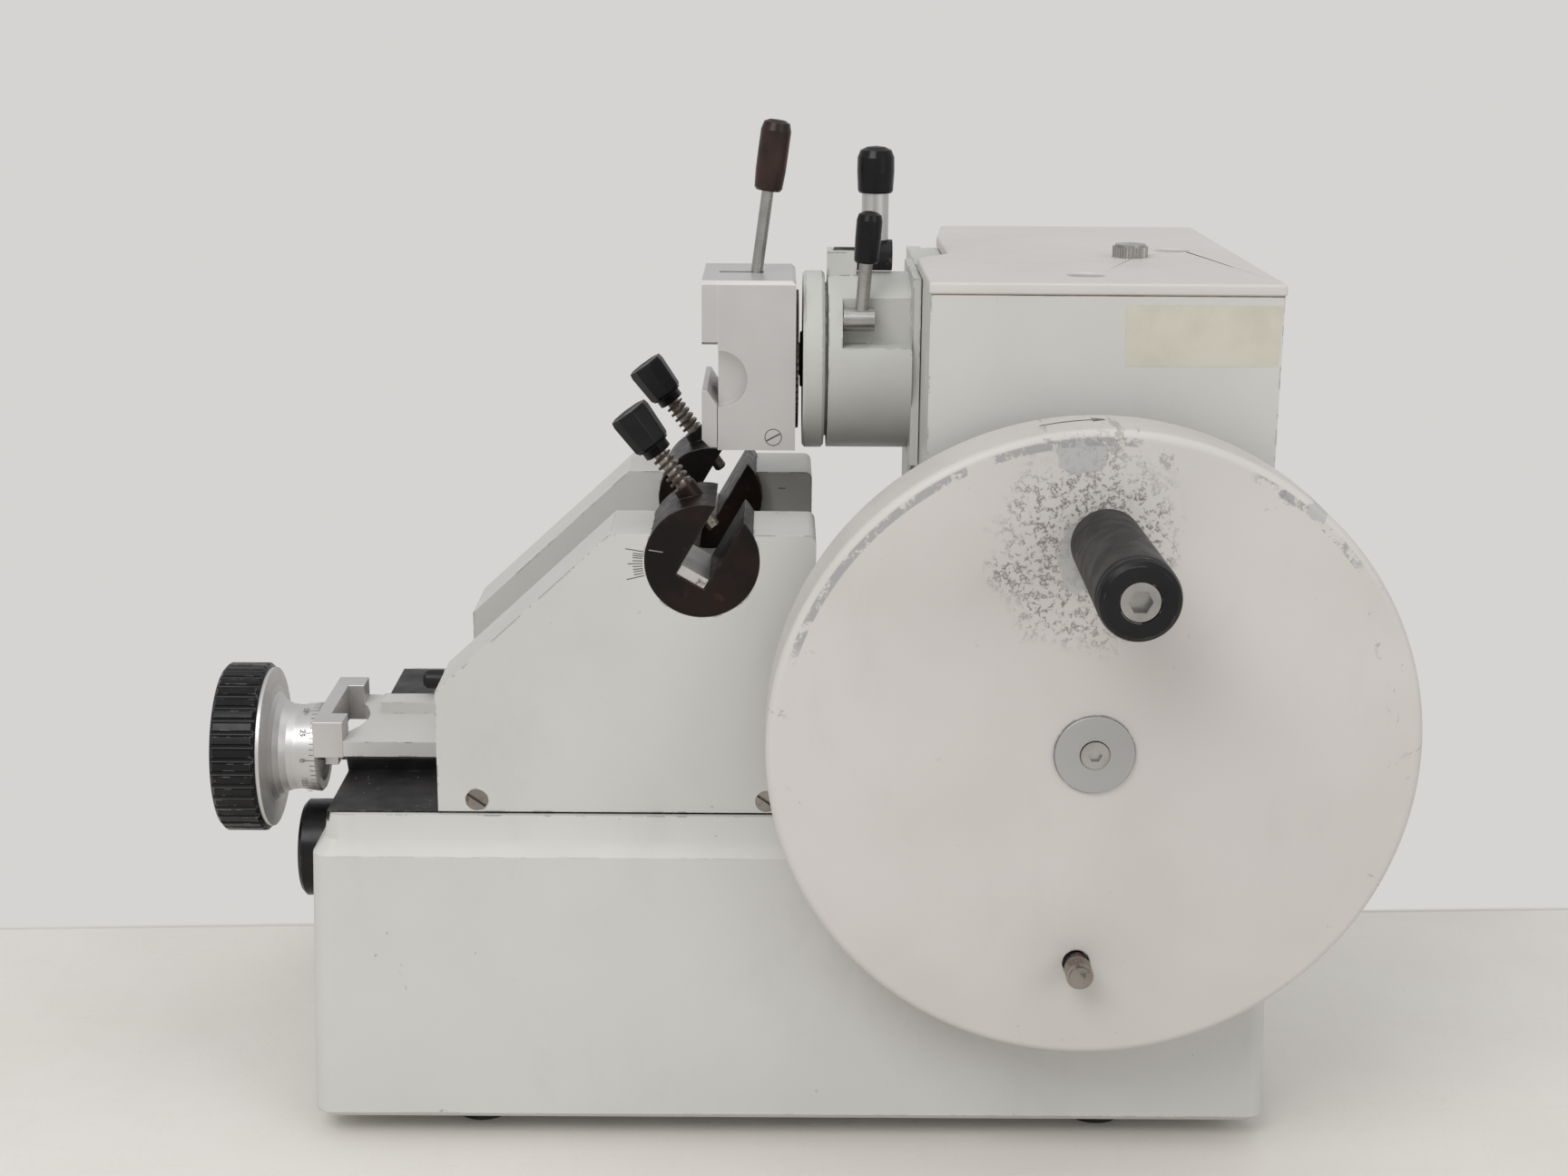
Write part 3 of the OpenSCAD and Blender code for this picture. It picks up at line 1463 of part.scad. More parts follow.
module feed_ratchet() {
  color(steel)
    difference() {
      translate([ratchet_x0, line_y, spindle_z])
        rotate([90, 0, 90])
          linear_extrude(ratchet_t)
            polygon(toothed(ratchet_r, 1.8, ratchet_teeth, 0.15));
      difference() {
        rod_x(lead_screw_r + run_fit, ratchet_x0 - over, ratchet_x0 + ratchet_t + over, line_y, spindle_z);
        box([ratchet_x0 - 2, line_y - 10, spindle_z + lead_screw_r - 0.8 + 2 * run_fit],
          [ratchet_x0 + ratchet_t + 2, line_y + 10, spindle_z + lead_screw_r + 4]);
      }
    }
}

pawl_a = 150;
pawl_pivot_r = ratchet_r + 9;
pawl_y = line_y + pawl_pivot_r * cos(pawl_a);
pawl_z = spindle_z + pawl_pivot_r * sin(pawl_a);
tip_r = ratchet_r + 0.3;
tip_a = 118;

// Rocking arm on the lead screw: tail on the thickness cam, lug under the crank disc
module feed_arm() {
  color(steel)
    difference() {
      union() {
        end_shape(
          [
            for (p = [
              [-4, -8], [-14.5, -34], [-14.5, -50], [-20, -50], [-20, -32], [-9, -5],
              [pawl_y - line_y - 5, pawl_z - spindle_z - 4],
              [pawl_y - line_y - 5, pawl_z - spindle_z + 5],
              [pawl_y - line_y + 4, pawl_z - spindle_z + 5],
              [-4, 9], [9, 9], [11, 18], [18, 18], [18, 13.5], [9, -4]
            ]) [line_y + p[0], spindle_z + p[1]]
          ],
          arm_x0, arm_x0 + arm_t
        );
        rod_x(9, arm_x0, arm_x0 + arm_t, line_y, spindle_z);
        rod_x(2, ratchet_x0, arm_x0 + 1, pawl_y, pawl_z);
      }
      rod_x(lead_screw_r + run_fit, arm_x0 - over, arm_x0 + arm_t + over, line_y, spindle_z);
    }
}

module feed_pawl() {
  tip_y = line_y + tip_r * cos(tip_a);
  tip_z = spindle_z + tip_r * sin(tip_a);
  color(dark_steel)
    difference() {
      union() {
        rod_x(4, ratchet_x0, ratchet_x0 + ratchet_t, pawl_y, pawl_z);
        end_shape(
          [
            [pawl_y, pawl_z - 1], [pawl_y + 6, pawl_z + 0.6], [tip_y, tip_z],
            [tip_y + 0.6, tip_z + 2], [pawl_y, pawl_z + 4]
          ],
          ratchet_x0, ratchet_x0 + ratchet_t
        );
      }
      rod_x(2 + run_fit, ratchet_x0 - over, ratchet_x0 + ratchet_t + over, pawl_y, pawl_z);
    }
}

// ---------- knife holder ----------

// Everything cut away for the knife: the slot, and the space past the bar
module holder_slot(y0, y1) {
  translate([holder_x, 0, holder_z])
    rotate([0, slot_lean, 0])
      box([-slot_w / 2, y0, -slot_floor], [slot_w / 2, y1, holder_r + 20]);
}

module knife_holder() {
  bar_left = 14;
  color(dark_steel)
    difference() {
      union() {
        rod_y(holder_r, near_seg_y0, near_seg_y1, holder_x, holder_z);
        rod_y(holder_r, far_seg_y0, far_seg_y1, holder_x, holder_z);
        intersection() {
          rod_y(holder_r, near_seg_y1 - over, far_seg_y0 + over, holder_x, holder_z);
          translate([holder_x, 0, holder_z])
            rotate([0, slot_lean, 0])
              box([-bar_left, near_face, -slot_floor - 11], [2, far_face, -slot_floor]);
          box([holder_x - 30, near_face, holder_z - 30], [holder_x - 2.8, far_face, holder_z + 30]);
        }
        for (y = [near_screw_y, far_screw_y])
          along_clamp_screw(y)
            translate([0, 0, 6])
              cylinder(r = 4.5, h = boss_top - 6);
      }
      holder_slot(near_face - over, far_face + over);
      for (y = [near_screw_y, far_screw_y])
        along_clamp_screw(y)
          cylinder(r = clamp_screw_r + run_fit, h = boss_top + over);
    }
}

module knife_rests() {
  side = slot_w / 2 - 0.1;
  color(steel)
    for (y = [[near_seg_y0 + 1, near_seg_y1 - 1], [far_seg_y0 + 1, far_seg_y1 - 1]])
      translate([holder_x, 0, holder_z])
        rotate([0, slot_lean, 0])
          box([-side, y[0], -slot_floor], [side, y[1], -slot_floor + rest_t]);
}

// Flat section through a coiled wire, seen along the coil's axis
function wire_section(coil_r, wire, pitch) =
  [for (i = [0 : 7])
    let (q = coil_r + wire * cos(45 * i), a = 360 * wire * sin(45 * i) / pitch)
      [q * cos(a), q * sin(a)]];

module clamp_springs() {
  wire = 0.6;
  length = spring_top - boss_top - 2 * wire - 0.4;
  coil_r = clamp_screw_r + 0.6 + wire;
  color(steel)
    for (y = [near_screw_y, far_screw_y])
      along_clamp_screw(y)
        translate([0, 0, boss_top + wire + 0.2])
          linear_extrude(length, twist = -360 * spring_turns, slices = 12 * spring_turns, $fn = 16)
            polygon(wire_section(coil_r, wire, length / spring_turns));
}

module clamp_screw(y) {
  color(steel)
    along_clamp_screw(y) {
      cylinder(r1 = clamp_screw_r - 0.8, r2 = clamp_screw_r, h = 0.8);
      translate([0, 0, 0.8])
        cylinder(r = clamp_screw_r, h = spring_top + 6);
    }
}

module clamp_knob(y) {
  color(dark_steel)
    along_clamp_screw(y)
      translate([0, 0, spring_top + 0.4])
        difference() {
          rotate_extrude($fn = 64)
            polygon([
              [0, 0], [5, 0], [5, 3], [screw_knob_r - 1.4, 3.6], [screw_knob_r, screw_knob_length - 2],
              [screw_knob_r - 1, screw_knob_length], [0, screw_knob_length]
            ]);
          translate([0, 0, -over])
            cylinder(r = clamp_screw_r + run_fit, h = over + 6.8);
        }
}

module near_clamp_screw() {
  clamp_screw(near_screw_y);
}

module near_clamp_knob() {
  clamp_knob(near_screw_y);
}

module far_clamp_screw() {
  clamp_screw(far_screw_y);
}

module far_clamp_knob() {
  clamp_knob(far_screw_y);
}

// ---------- placing ----------

module placed() {
  translate([-machine_x, -machine_y, 0])
    children();
}

placed() base_casting();
placed() bottom_plate();
placed() rubber_feet();
placed() bed_plates();
placed() dovetail_rail();
placed() frame_screws();
placed() feed_nut();
placed() housing_shell();
placed() top_cover();
placed() slide_guides();
placed() bearing_housing();
placed() shaft_bearings();
placed() cover_screw();
placed() handwheel();
placed() main_shaft();
placed() hub_disc();
placed() hub_screw();
placed() crank_disc();
placed() crank_roller();
placed() handle_bolt();
placed() handle_grip();
placed() handle_cap();
placed() lock_pin();
placed() vertical_slide();
placed() slide_plate();
placed() slide_screws();
placed() crank_yoke();
placed() head_drum();
placed() near_lever();
placed() near_lever_knob();
placed() far_lever();
placed() far_lever_knob();
placed() orientation_flange();
placed() ball_stud();
placed() clamp_body();
placed() upper_jaw();
placed() lower_jaw();
placed() clamp_lever();
placed() clamp_lever_grip();
placed() carriage_plate();
placed() near_cheek();
placed() far_cheek();
placed() carriage_screws();
placed() yoke_bracket();
placed() carriage_lock();
placed() micrometer_grip();
placed() micrometer_dial();
placed() lead_screw();
placed() knife_holder();
placed() knife_rests();
placed() clamp_springs();
placed() near_clamp_screw();
placed() near_clamp_knob();
placed() far_clamp_screw();
placed() far_clamp_knob();
placed() thickness_knob();
placed() thickness_shaft();
placed() feed_ratchet();
placed() feed_arm();
placed() feed_pawl();
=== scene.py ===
import bpy, math
from mathutils import Matrix, Vector


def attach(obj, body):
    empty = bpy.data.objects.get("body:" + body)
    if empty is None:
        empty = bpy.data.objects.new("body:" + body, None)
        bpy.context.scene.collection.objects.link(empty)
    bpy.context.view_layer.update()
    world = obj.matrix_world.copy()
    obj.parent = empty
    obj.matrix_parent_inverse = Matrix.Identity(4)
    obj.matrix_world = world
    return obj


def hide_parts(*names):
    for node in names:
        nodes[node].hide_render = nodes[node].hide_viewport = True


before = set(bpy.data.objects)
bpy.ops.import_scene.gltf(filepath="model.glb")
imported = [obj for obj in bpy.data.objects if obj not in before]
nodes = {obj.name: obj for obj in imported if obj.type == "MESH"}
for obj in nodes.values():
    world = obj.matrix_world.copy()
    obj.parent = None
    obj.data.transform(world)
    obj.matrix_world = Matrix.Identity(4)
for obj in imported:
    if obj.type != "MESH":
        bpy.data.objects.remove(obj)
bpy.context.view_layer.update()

scene = bpy.context.scene
# Middle of the machine's overall box, in millimetres from the middle of the base's near edge
MX, MY = -3.4, 43.6
# Line of the feed screw and height of its axis, in the same millimetres
LINE_Y, SCREW_Z = 85.5, 132
# Axis of the knife holder, and centre, radius and front face of the handwheel
HOLDER_X, HOLDER_Z = -33.8, 230.6
WHEEL_X, WHEEL_Z, WHEEL_R = 107.1, 172.7, 117.1
WHEEL_FRONT = -36


def V(x, y, z):
    """Point in millimetres measured from the base, as metres in the row frame."""
    return Vector(((x - MX) / 1000, (y - MY) / 1000, z / 1000))


def lin(r, g, b):
    """sRGB 0-255 to linear."""
    out = []
    for c in (r, g, b):
        c = c / 255
        out.append(c / 12.92 if c <= 0.04045 else ((c + 0.055) / 1.055) ** 2.4)
    return tuple(out) + (1,)


# ---------------------------------------------------------------- materials

class Mat:
    """Small helper round one node material."""

    def __init__(self, name):
        self.m = bpy.data.materials.new(name)
        self.m.use_nodes = True
        self.t = self.m.node_tree
        self.t.nodes.clear()
        self.out = self.t.nodes.new("ShaderNodeOutputMaterial")
        self.b = self.t.nodes.new("ShaderNodeBsdfPrincipled")
        self.link(self.b.outputs[0], self.out.inputs[0])
        self.co = self.t.nodes.new("ShaderNodeTexCoord").outputs["Object"]
        self.h = None

    def link(self, a, b):
        self.t.links.new(a, b)

    def set(self, **k):
        for n, v in k.items():
            self.b.inputs[n.replace("_", " ")].default_value = v

    def math(self, op, a, b=None, clamp=False):
        n = self.t.nodes.new("ShaderNodeMath")
        n.operation = op
        n.use_clamp = clamp
        for i, v in enumerate((a, b)):
            if v is None:
                continue
            if isinstance(v, (int, float)):
                n.inputs[i].default_value = v
            else:
                self.link(v, n.inputs[i])
        return n.outputs[0]

    def map(self, scale=(1, 1, 1), loc=(0, 0, 0), rot=(0, 0, 0)):
        n = self.t.nodes.new("ShaderNodeMapping")
        n.inputs["Scale"].default_value = scale
        n.inputs["Location"].default_value = loc
        n.inputs["Rotation"].default_value = rot
        self.link(self.co, n.inputs[0])
        return n.outputs[0]

    def noise(self, scale, detail=3, rough=0.55, vec=None, dist=0.0):
        n = self.t.nodes.new("ShaderNodeTexNoise")
        n.inputs["Scale"].default_value = scale
        n.inputs["Detail"].default_value = detail
        n.inputs["Roughness"].default_value = rough
        n.inputs["Distortion"].default_value = dist
        self.link(vec if vec is not None else self.co, n.inputs["Vector"])
        return n.outputs["Fac"]

    def voronoi(self, scale, vec=None, feature="F1"):
        n = self.t.nodes.new("ShaderNodeTexVoronoi")
        n.feature = feature
        n.inputs["Scale"].default_value = scale
        n.inputs["Randomness"].default_value = 1.0
        self.link(vec if vec is not None else self.co, n.inputs["Vector"])
        return n.outputs["Distance"]

    def ramp(self, v, a, b, lo=0.0, hi=1.0):
        n = self.t.nodes.new("ShaderNodeMapRange")
        n.interpolation_type = "SMOOTHSTEP"
        n.inputs["From Min"].default_value = a
        n.inputs["From Max"].default_value = b
        n.inputs["To Min"].default_value = lo
        n.inputs["To Max"].default_value = hi
        self.link(v, n.inputs["Value"])
        return n.outputs[0]

    def mix(self, f, a, b):
        n = self.t.nodes.new("ShaderNodeMix")
        n.data_type = "RGBA"
        for i, v in ((0, f), (6, a), (7, b)):
            if isinstance(v, (int, float, tuple)):
                n.inputs[i].default_value = v
            else:
                self.link(v, n.inputs[i])
        return n.outputs[2]

    def bump(self, height, dist=0.0001, strength=1.0):
        n = self.t.nodes.new("ShaderNodeBump")
        n.inputs["Distance"].default_value = dist
        n.inputs["Strength"].default_value = strength
        self.link(height, n.inputs["Height"])
        if self.h is not None:
            self.link(self.h, n.inputs["Normal"])
        self.h = n.outputs[0]
        self.link(self.h, self.b.inputs["Normal"])

    def edge(self, radius=0.0012):
        """About 1 on convex and concave edges, 0 on open faces."""
        n = self.t.nodes.new("ShaderNodeBevel")
        n.samples = 6
        n.inputs["Radius"].default_value = radius
        g = self.t.nodes.new("ShaderNodeNewGeometry")
        d = self.t.nodes.new("ShaderNodeVectorMath")
        d.operation = "DOT_PRODUCT"
        self.link(n.outputs[0], d.inputs[0])
        self.link(g.outputs["Normal"], d.inputs[1])
        return self.math("SUBTRACT", 1.0, d.outputs["Value"], clamp=True)

    def dist_to(self, x, y, z, sx=1, sy=1, sz=1):
        """Distance in metres from a point given in base millimetres, with each axis scaled."""
        p = V(x, y, z)
        s = self.t.nodes.new("ShaderNodeVectorMath")
        s.operation = "SUBTRACT"
        self.link(self.co, s.inputs[0])
        s.inputs[1].default_value = p
        k = self.t.nodes.new("ShaderNodeVectorMath")
        k.operation = "MULTIPLY"
        k.inputs[1].default_value = (sx, sy, sz)
        self.link(s.outputs[0], k.inputs[0])
        n = self.t.nodes.new("ShaderNodeVectorMath")
        n.operation = "LENGTH"
        self.link(k.outputs[0], n.inputs[0])
        return n.outputs["Value"]

    def axis(self, i):
        n = self.t.nodes.new("ShaderNodeSeparateXYZ")
        self.link(self.co, n.inputs[0])
        return n.outputs[i]

    def color(self, c):
        if isinstance(c, tuple):
            self.b.inputs["Base Color"].default_value = c
        else:
            self.link(c, self.b.inputs["Base Color"])

    def rough(self, v):
        if isinstance(v, float):
            self.b.inputs["Roughness"].default_value = v
        else:
            self.link(v, self.b.inputs["Roughness"])

    def metal(self, v):
        if isinstance(v, (int, float)):
            self.b.inputs["Metallic"].default_value = v
        else:
            self.link(v, self.b.inputs["Metallic"])


def paint(name, c, dark, wear=0.5, chips=0.5, extra=None):
    """Old enamel: fine orange peel, faint grime, chipped edges, specks and hairline scratches."""
    m = Mat(name)
    big = m.noise(7, 4)
    col = m.mix(m.ramp(big, 0.35, 0.7), c, dark)
    # specks
    spot = m.voronoi(60)
    gate = m.noise(23, 2)
    speck = m.math("MULTIPLY", m.ramp(spot, 0.03, 0.045, 1, 0), m.ramp(gate, 0.60, 0.66))
    # hairline scratches in two directions
    s1 = m.noise(10, 5, 0.7, m.map((1.3, 1.3, 60), rot=(0, 0.5, 0.2)), 0.4)
    s2 = m.noise(9, 5, 0.7, m.map((50, 1.2, 1.5), rot=(0.1, -0.4, 0)), 0.5)
    scr = m.math("MAXIMUM", m.ramp(s1, 0.735, 0.76), m.ramp(s2, 0.735, 0.76))
    # worn edges
    e = m.edge(0.0013)
    en = m.noise(110, 4, 0.65)
    en2 = m.noise(18, 2)
    least = 0.58 - 0.12 * wear
    thr = m.math("MULTIPLY", m.ramp(en, least, least + 0.05), m.ramp(en2, 0.38, 0.54))
    worn = m.math("MULTIPLY", m.ramp(e, 0.02, 0.12), thr, clamp=True)
    # broad faint rub marks and small bruises on open faces
    haze = m.ramp(m.noise(26, 5, 0.7, m.map((1, 1, 0.45), rot=(0, 0.4, 0))), 0.52, 0.72)
    bruise = m.math("MULTIPLY", m.ramp(m.noise(210, 3, 0.7), 0.70, 0.73),
                    m.ramp(m.noise(15, 2), 0.52, 0.60))
    # painted highlight: a lighter line along every edge
    edge_highlight = m.ramp(e, 0.03, 0.2)
    col = m.mix(m.math("MULTIPLY", haze, 0.14), col, (0.42, 0.41, 0.39, 1))
    col = m.mix(m.math("MULTIPLY", edge_highlight, 0.22), col, (0.66, 0.65, 0.62, 1))
    col = m.mix(m.math("MULTIPLY", speck, 0.9 * chips), col, (0.12, 0.11, 0.10, 1))
    col = m.mix(m.math("MULTIPLY", bruise, 0.7 * chips), col, (0.22, 0.20, 0.19, 1))
    col = m.mix(m.math("MULTIPLY", scr, 0.45), col, (0.28, 0.27, 0.26, 1))
    col = m.mix(m.math("MULTIPLY", worn, 0.85), col, (0.17, 0.16, 0.15, 1))
    if extra:
        col, worn2 = extra(m, col)
        worn = m.math("MAXIMUM", worn, worn2)
    m.color(col)
    dull = m.math("ADD", m.noise(35, 3), m.math("MULTIPLY", worn, 0.3))
    m.rough(m.ramp(dull, 0.3, 0.9, 0.36, 0.56))
    m.set(Specular_IOR_Level=0.35)
    m.bump(m.noise(900, 2), 0.00003, 0.5)
    m.bump(m.math("SUBTRACT", 1.0, m.math("MAXIMUM", worn, speck)), 0.00008, 0.6)
    return m.m


def wheel_extra(m, col):
    """Crackled and chipped enamel round the handle, scuffed rim."""
    r = m.dist_to(100, WHEEL_FRONT, 248, 1, 0.2, 0.8)
    near = m.ramp(r, 0.012, 0.052, 1, 0)
    crack = m.voronoi(700, m.map(rot=(0.2, 0.1, 0)), "DISTANCE_TO_EDGE")
    n = m.noise(420, 3, 0.6, None, 0.6)
    pick = m.math("MULTIPLY", m.ramp(crack, 0.03, 0.16, 1, 0.35), m.ramp(n, 0.50, 0.56))
    patchy = m.math("ADD", near, m.math("MULTIPLY", m.math("SUBTRACT", m.noise(55, 3), 0.5), 1.1))
    pick = m.math("MULTIPLY", pick, m.ramp(patchy, 0.38, 0.85))
    col = m.mix(m.math("MULTIPLY", pick, 0.8), col, (0.12, 0.10, 0.09, 1))
    # darker towards a broad spot above the hub, below the handle
    darkening = m.ramp(m.dist_to(108, WHEEL_FRONT, 205, 0.9, 0.2, 0.8), 0.0, 0.055, 0.26, 0)
    col = m.mix(darkening, col, (0.40, 0.37, 0.34, 1))
    bare = None
    # bare patches: x and z of the middle, stretch along x and z, radius in metres
    patches = ((98.5, 281, 1.0, 1.3, 0.0085), (97, 244, 1.6, 0.75, 0.0085),
               (181, 262, 1.3, 1.3, 0.0045))
    for x, z, sx, sz, radius in patches:
        d = m.dist_to(x, WHEEL_FRONT, z, sx, 0.2, sz)
        ragged = m.math("MULTIPLY", m.math("SUBTRACT", m.noise(190, 3), 0.5), 0.009)
        d = m.math("ADD", d, ragged)
        k = m.ramp(d, radius, radius + 0.0006, 1, 0)
        bare = k if bare is None else m.math("MAXIMUM", bare, k)
    col = m.mix(m.math("MULTIPLY", bare, 0.75), col, (0.42, 0.42, 0.42, 1))
    # enamel broken away in a thin line along the front edge, at the upper left and upper right
    rr = m.dist_to(WHEEL_X, WHEEL_FRONT, WHEEL_Z, 1, 0, 1)
    band = m.math("MULTIPLY", m.ramp(rr, 0.1112, 0.1118), m.ramp(rr, 0.1142, 0.1148, 1, 0))
    where = m.math("MAXIMUM", m.ramp(m.dist_to(46, WHEEL_FRONT, 268, 1, 0, 1), 0.070, 0.080, 1, 0),
                   m.ramp(m.dist_to(181, WHEEL_FRONT, 262, 1, 0, 1), 0.022, 0.028, 1, 0))
    line = m.math("MULTIPLY", m.math("MULTIPLY", band, where),
                  m.ramp(m.noise(120, 5, 0.75), 0.47, 0.52))
    col = m.mix(m.math("MULTIPLY", line, 0.75), col, (0.30, 0.30, 0.31, 1))
    bare = m.math("MAXIMUM", bare, line)
    # dark scuffs along the rim, where the wheel is pushed round by hand
    rim = m.ramp(rr, 0.1035, 0.1065)
    scuff = m.noise(34, 5, 0.75, m.map((1, 0.3, 1), rot=(0, 0.3, 0)), 0.8)
    scuff = m.math("MULTIPLY", m.ramp(scuff, 0.60, 0.64), rim)
    col = m.mix(m.math("MULTIPLY", scuff, 0.5), col, (0.24, 0.23, 0.22, 1))
    return col, m.math("MAXIMUM", m.math("MAXIMUM", bare, pick), m.math("MULTIPLY", scuff, 0.4))


def aluminium(name, c=(0.60, 0.59, 0.575, 1), rough=0.36, dirx=(1, 40, 1)):
    m = Mat(name)
    streak = m.noise(120, 3, 0.6, m.map(dirx))
    soft = m.noise(16, 3)
    col = m.mix(m.ramp(soft, 0.3, 0.75), c, tuple(v * 0.90 for v in c[:3]) + (1,))
    e = m.edge(0.0006)
    # painted highlight: a lighter line along every edge
    col = m.mix(m.math("MULTIPLY", m.ramp(e, 0.03, 0.2), 0.35), col, (0.85, 0.85, 0.84, 1))
    spot = m.math("MULTIPLY", m.ramp(m.voronoi(240), 0.03, 0.06, 1, 0),
                  m.ramp(m.noise(60, 2), 0.58, 0.64))
    col = m.mix(m.math("MULTIPLY", spot, 0.6), col, (0.14, 0.13, 0.12, 1))
    m.color(col)
    m.metal(0.75)
    grain = m.math("ADD", m.math("MULTIPLY", streak, 0.6), m.math("MULTIPLY", soft, 0.4))
    m.rough(m.ramp(grain, 0.3, 0.7, rough - 0.05, rough + 0.1))
    m.bump(streak, 0.00002, 0.35)
    return m.m


def steel(name, c=(0.45, 0.44, 0.42, 1), rough=0.28, rust=0.0, dirx=(1, 1, 50)):
    m = Mat(name)
    streak = m.noise(150, 3, 0.6, m.map(dirx))
    col = m.mix(m.ramp(m.noise(60, 4), 0.35, 0.7), c, tuple(v * 0.72 for v in c[:3]) + (1,))
    if rust:
        r = m.ramp(m.noise(140, 5, 0.7), 0.60 - 0.15 * rust, 0.70 - 0.15 * rust)
        col = m.mix(m.math("MULTIPLY", r, 0.85), col, (0.09, 0.045, 0.025, 1))
        m.metal(m.math("SUBTRACT", 1.0, m.math("MULTIPLY", r, 0.8)))
    else:
        m.metal(1.0)
    m.color(col)
    m.rough(m.ramp(streak, 0.3, 0.7, rough - 0.06, rough + 0.12))
    m.bump(streak, 0.00002, 0.3)
    return m.m


def blackened(name):
    """Oil-blackened steel with brown bloom and bright worn edges."""
    m = Mat(name)
    n = m.noise(45, 5, 0.65)
    n2 = m.noise(190, 4, 0.7)
    col = m.mix(m.ramp(n, 0.42, 0.66), (0.0055, 0.0038, 0.0034, 1), (0.015, 0.0075, 0.0058, 1))
    col = m.mix(m.math("MULTIPLY", m.ramp(n2, 0.60, 0.72), 0.45), col, (0.050, 0.024, 0.018, 1))
    e = m.math("MULTIPLY", m.ramp(m.edge(0.0006), 0.02, 0.14), m.ramp(m.noise(120, 3), 0.38, 0.55))
    col = m.mix(m.math("MULTIPLY", e, 0.75), col, (0.34, 0.30, 0.28, 1))
    m.color(col)
    m.metal(m.math("MULTIPLY", e, 0.8))
    m.set(Specular_IOR_Level=0.18)
    m.rough(m.ramp(n2, 0.3, 0.7, 0.30, 0.46))
    m.bump(n2, 0.00004, 0.4)
    return m.m


def plastic(name, c, c2, rough=0.25, scuff=0.5, spec=0.3, flecks=0.60):
    m = Mat(name)
    n = m.noise(50, 4)
    col = m.mix(m.ramp(n, 0.35, 0.7), c, c2)
    where = m.ramp(m.noise(70, 2), flecks, flecks + 0.06)
    sp = m.math("MULTIPLY", m.ramp(m.voronoi(330), 0.05, 0.09, 1, 0), where)
    e = m.math("MULTIPLY", m.ramp(m.edge(0.0006), 0.03, 0.2), m.ramp(m.noise(160, 3), 0.52, 0.60))
    w = m.math("MAXIMUM", sp, m.math("MULTIPLY", e, 0.8))
    col = m.mix(m.math("MULTIPLY", w, scuff), col, (0.55, 0.54, 0.52, 1))
    m.color(col)
    m.set(Specular_IOR_Level=spec)
    m.rough(m.ramp(m.noise(90, 4), 0.3, 0.75, rough, rough + 0.2))
    m.bump(m.noise(500, 3), 0.00002, 0.3)
    return m.m


body_paint = paint("body_paint", lin(203, 202, 198), lin(196, 195, 191), wear=0.55, chips=0.8)
head_paint = paint("head_paint", lin(199, 199, 194), lin(187, 187, 181), wear=0.9, chips=0.9)
cheek_paint = paint("cheek_paint", lin(202, 201, 197), lin(195, 194, 190), wear=0.65, chips=0.7)
cover_paint = paint("cover_paint", lin(207, 203, 200), lin(200, 196, 192), wear=0.4, chips=0.35)
wheel_paint = paint("wheel_paint", lin(204, 200, 196), lin(195, 191, 186), wear=0.9, chips=0.6,
                    extra=wheel_extra)
alu = aluminium("aluminium", (0.64, 0.62, 0.61, 1))
alu_hub = aluminium("aluminium_hub", (0.46, 0.455, 0.45, 1), rough=0.42, dirx=(60, 1, 1))
alu_lathe = aluminium("aluminium_turned", (0.66, 0.645, 0.635, 1), rough=0.40, dirx=(60, 1, 1))
steel_m = steel("steel")
steel_dark = steel("steel_dark", (0.10, 0.09, 0.085, 1), rough=0.40, rust=0.5)
steel_old = steel("steel_old", (0.34, 0.31, 0.28, 1), rough=0.33, rust=0.6)
bright = steel("steel_rest", (0.62, 0.61, 0.58, 1), rough=0.34, rust=0.25, dirx=(40, 1, 1))
holder_m = blackened("blackened_steel")
# painted shade: the slide guides are coloured near black to stand for the shaded gap between the
# slide and the housing
guide_gap_shade = plastic("slide_gap_shade", (0.03, 0.03, 0.03, 1), (0.05, 0.048, 0.045, 1),
                   rough=0.5, scuff=0.2)
black_m = plastic("black_plastic", (0.007, 0.007, 0.0075, 1), (0.013, 0.0125, 0.013, 1),
                  rough=0.22, scuff=0.7, spec=0.22, flecks=0.56)
knob_m = plastic("knob_plastic", (0.005, 0.005, 0.0055, 1), (0.011, 0.010, 0.011, 1),
                 rough=0.20, scuff=0.3, spec=0.22)
grip_m = plastic("handle_plastic", (0.012, 0.011, 0.012, 1), (0.022, 0.020, 0.021, 1),
                 rough=0.36, scuff=0.2, spec=0.22)
brown_m = plastic("brown_plastic", (0.011, 0.0062, 0.0055, 1), (0.036, 0.017, 0.013, 1),
                  rough=0.24, scuff=0.35, spec=0.28)
rubber_m = plastic("rubber", (0.02, 0.02, 0.02, 1), (0.035, 0.034, 0.033, 1),
                   rough=0.7, scuff=0.2)
bed_m = plastic("black_bed", (0.011, 0.0105, 0.011, 1), (0.026, 0.024, 0.024, 1),
                rough=0.34, scuff=0.9, spec=0.25, flecks=0.50)


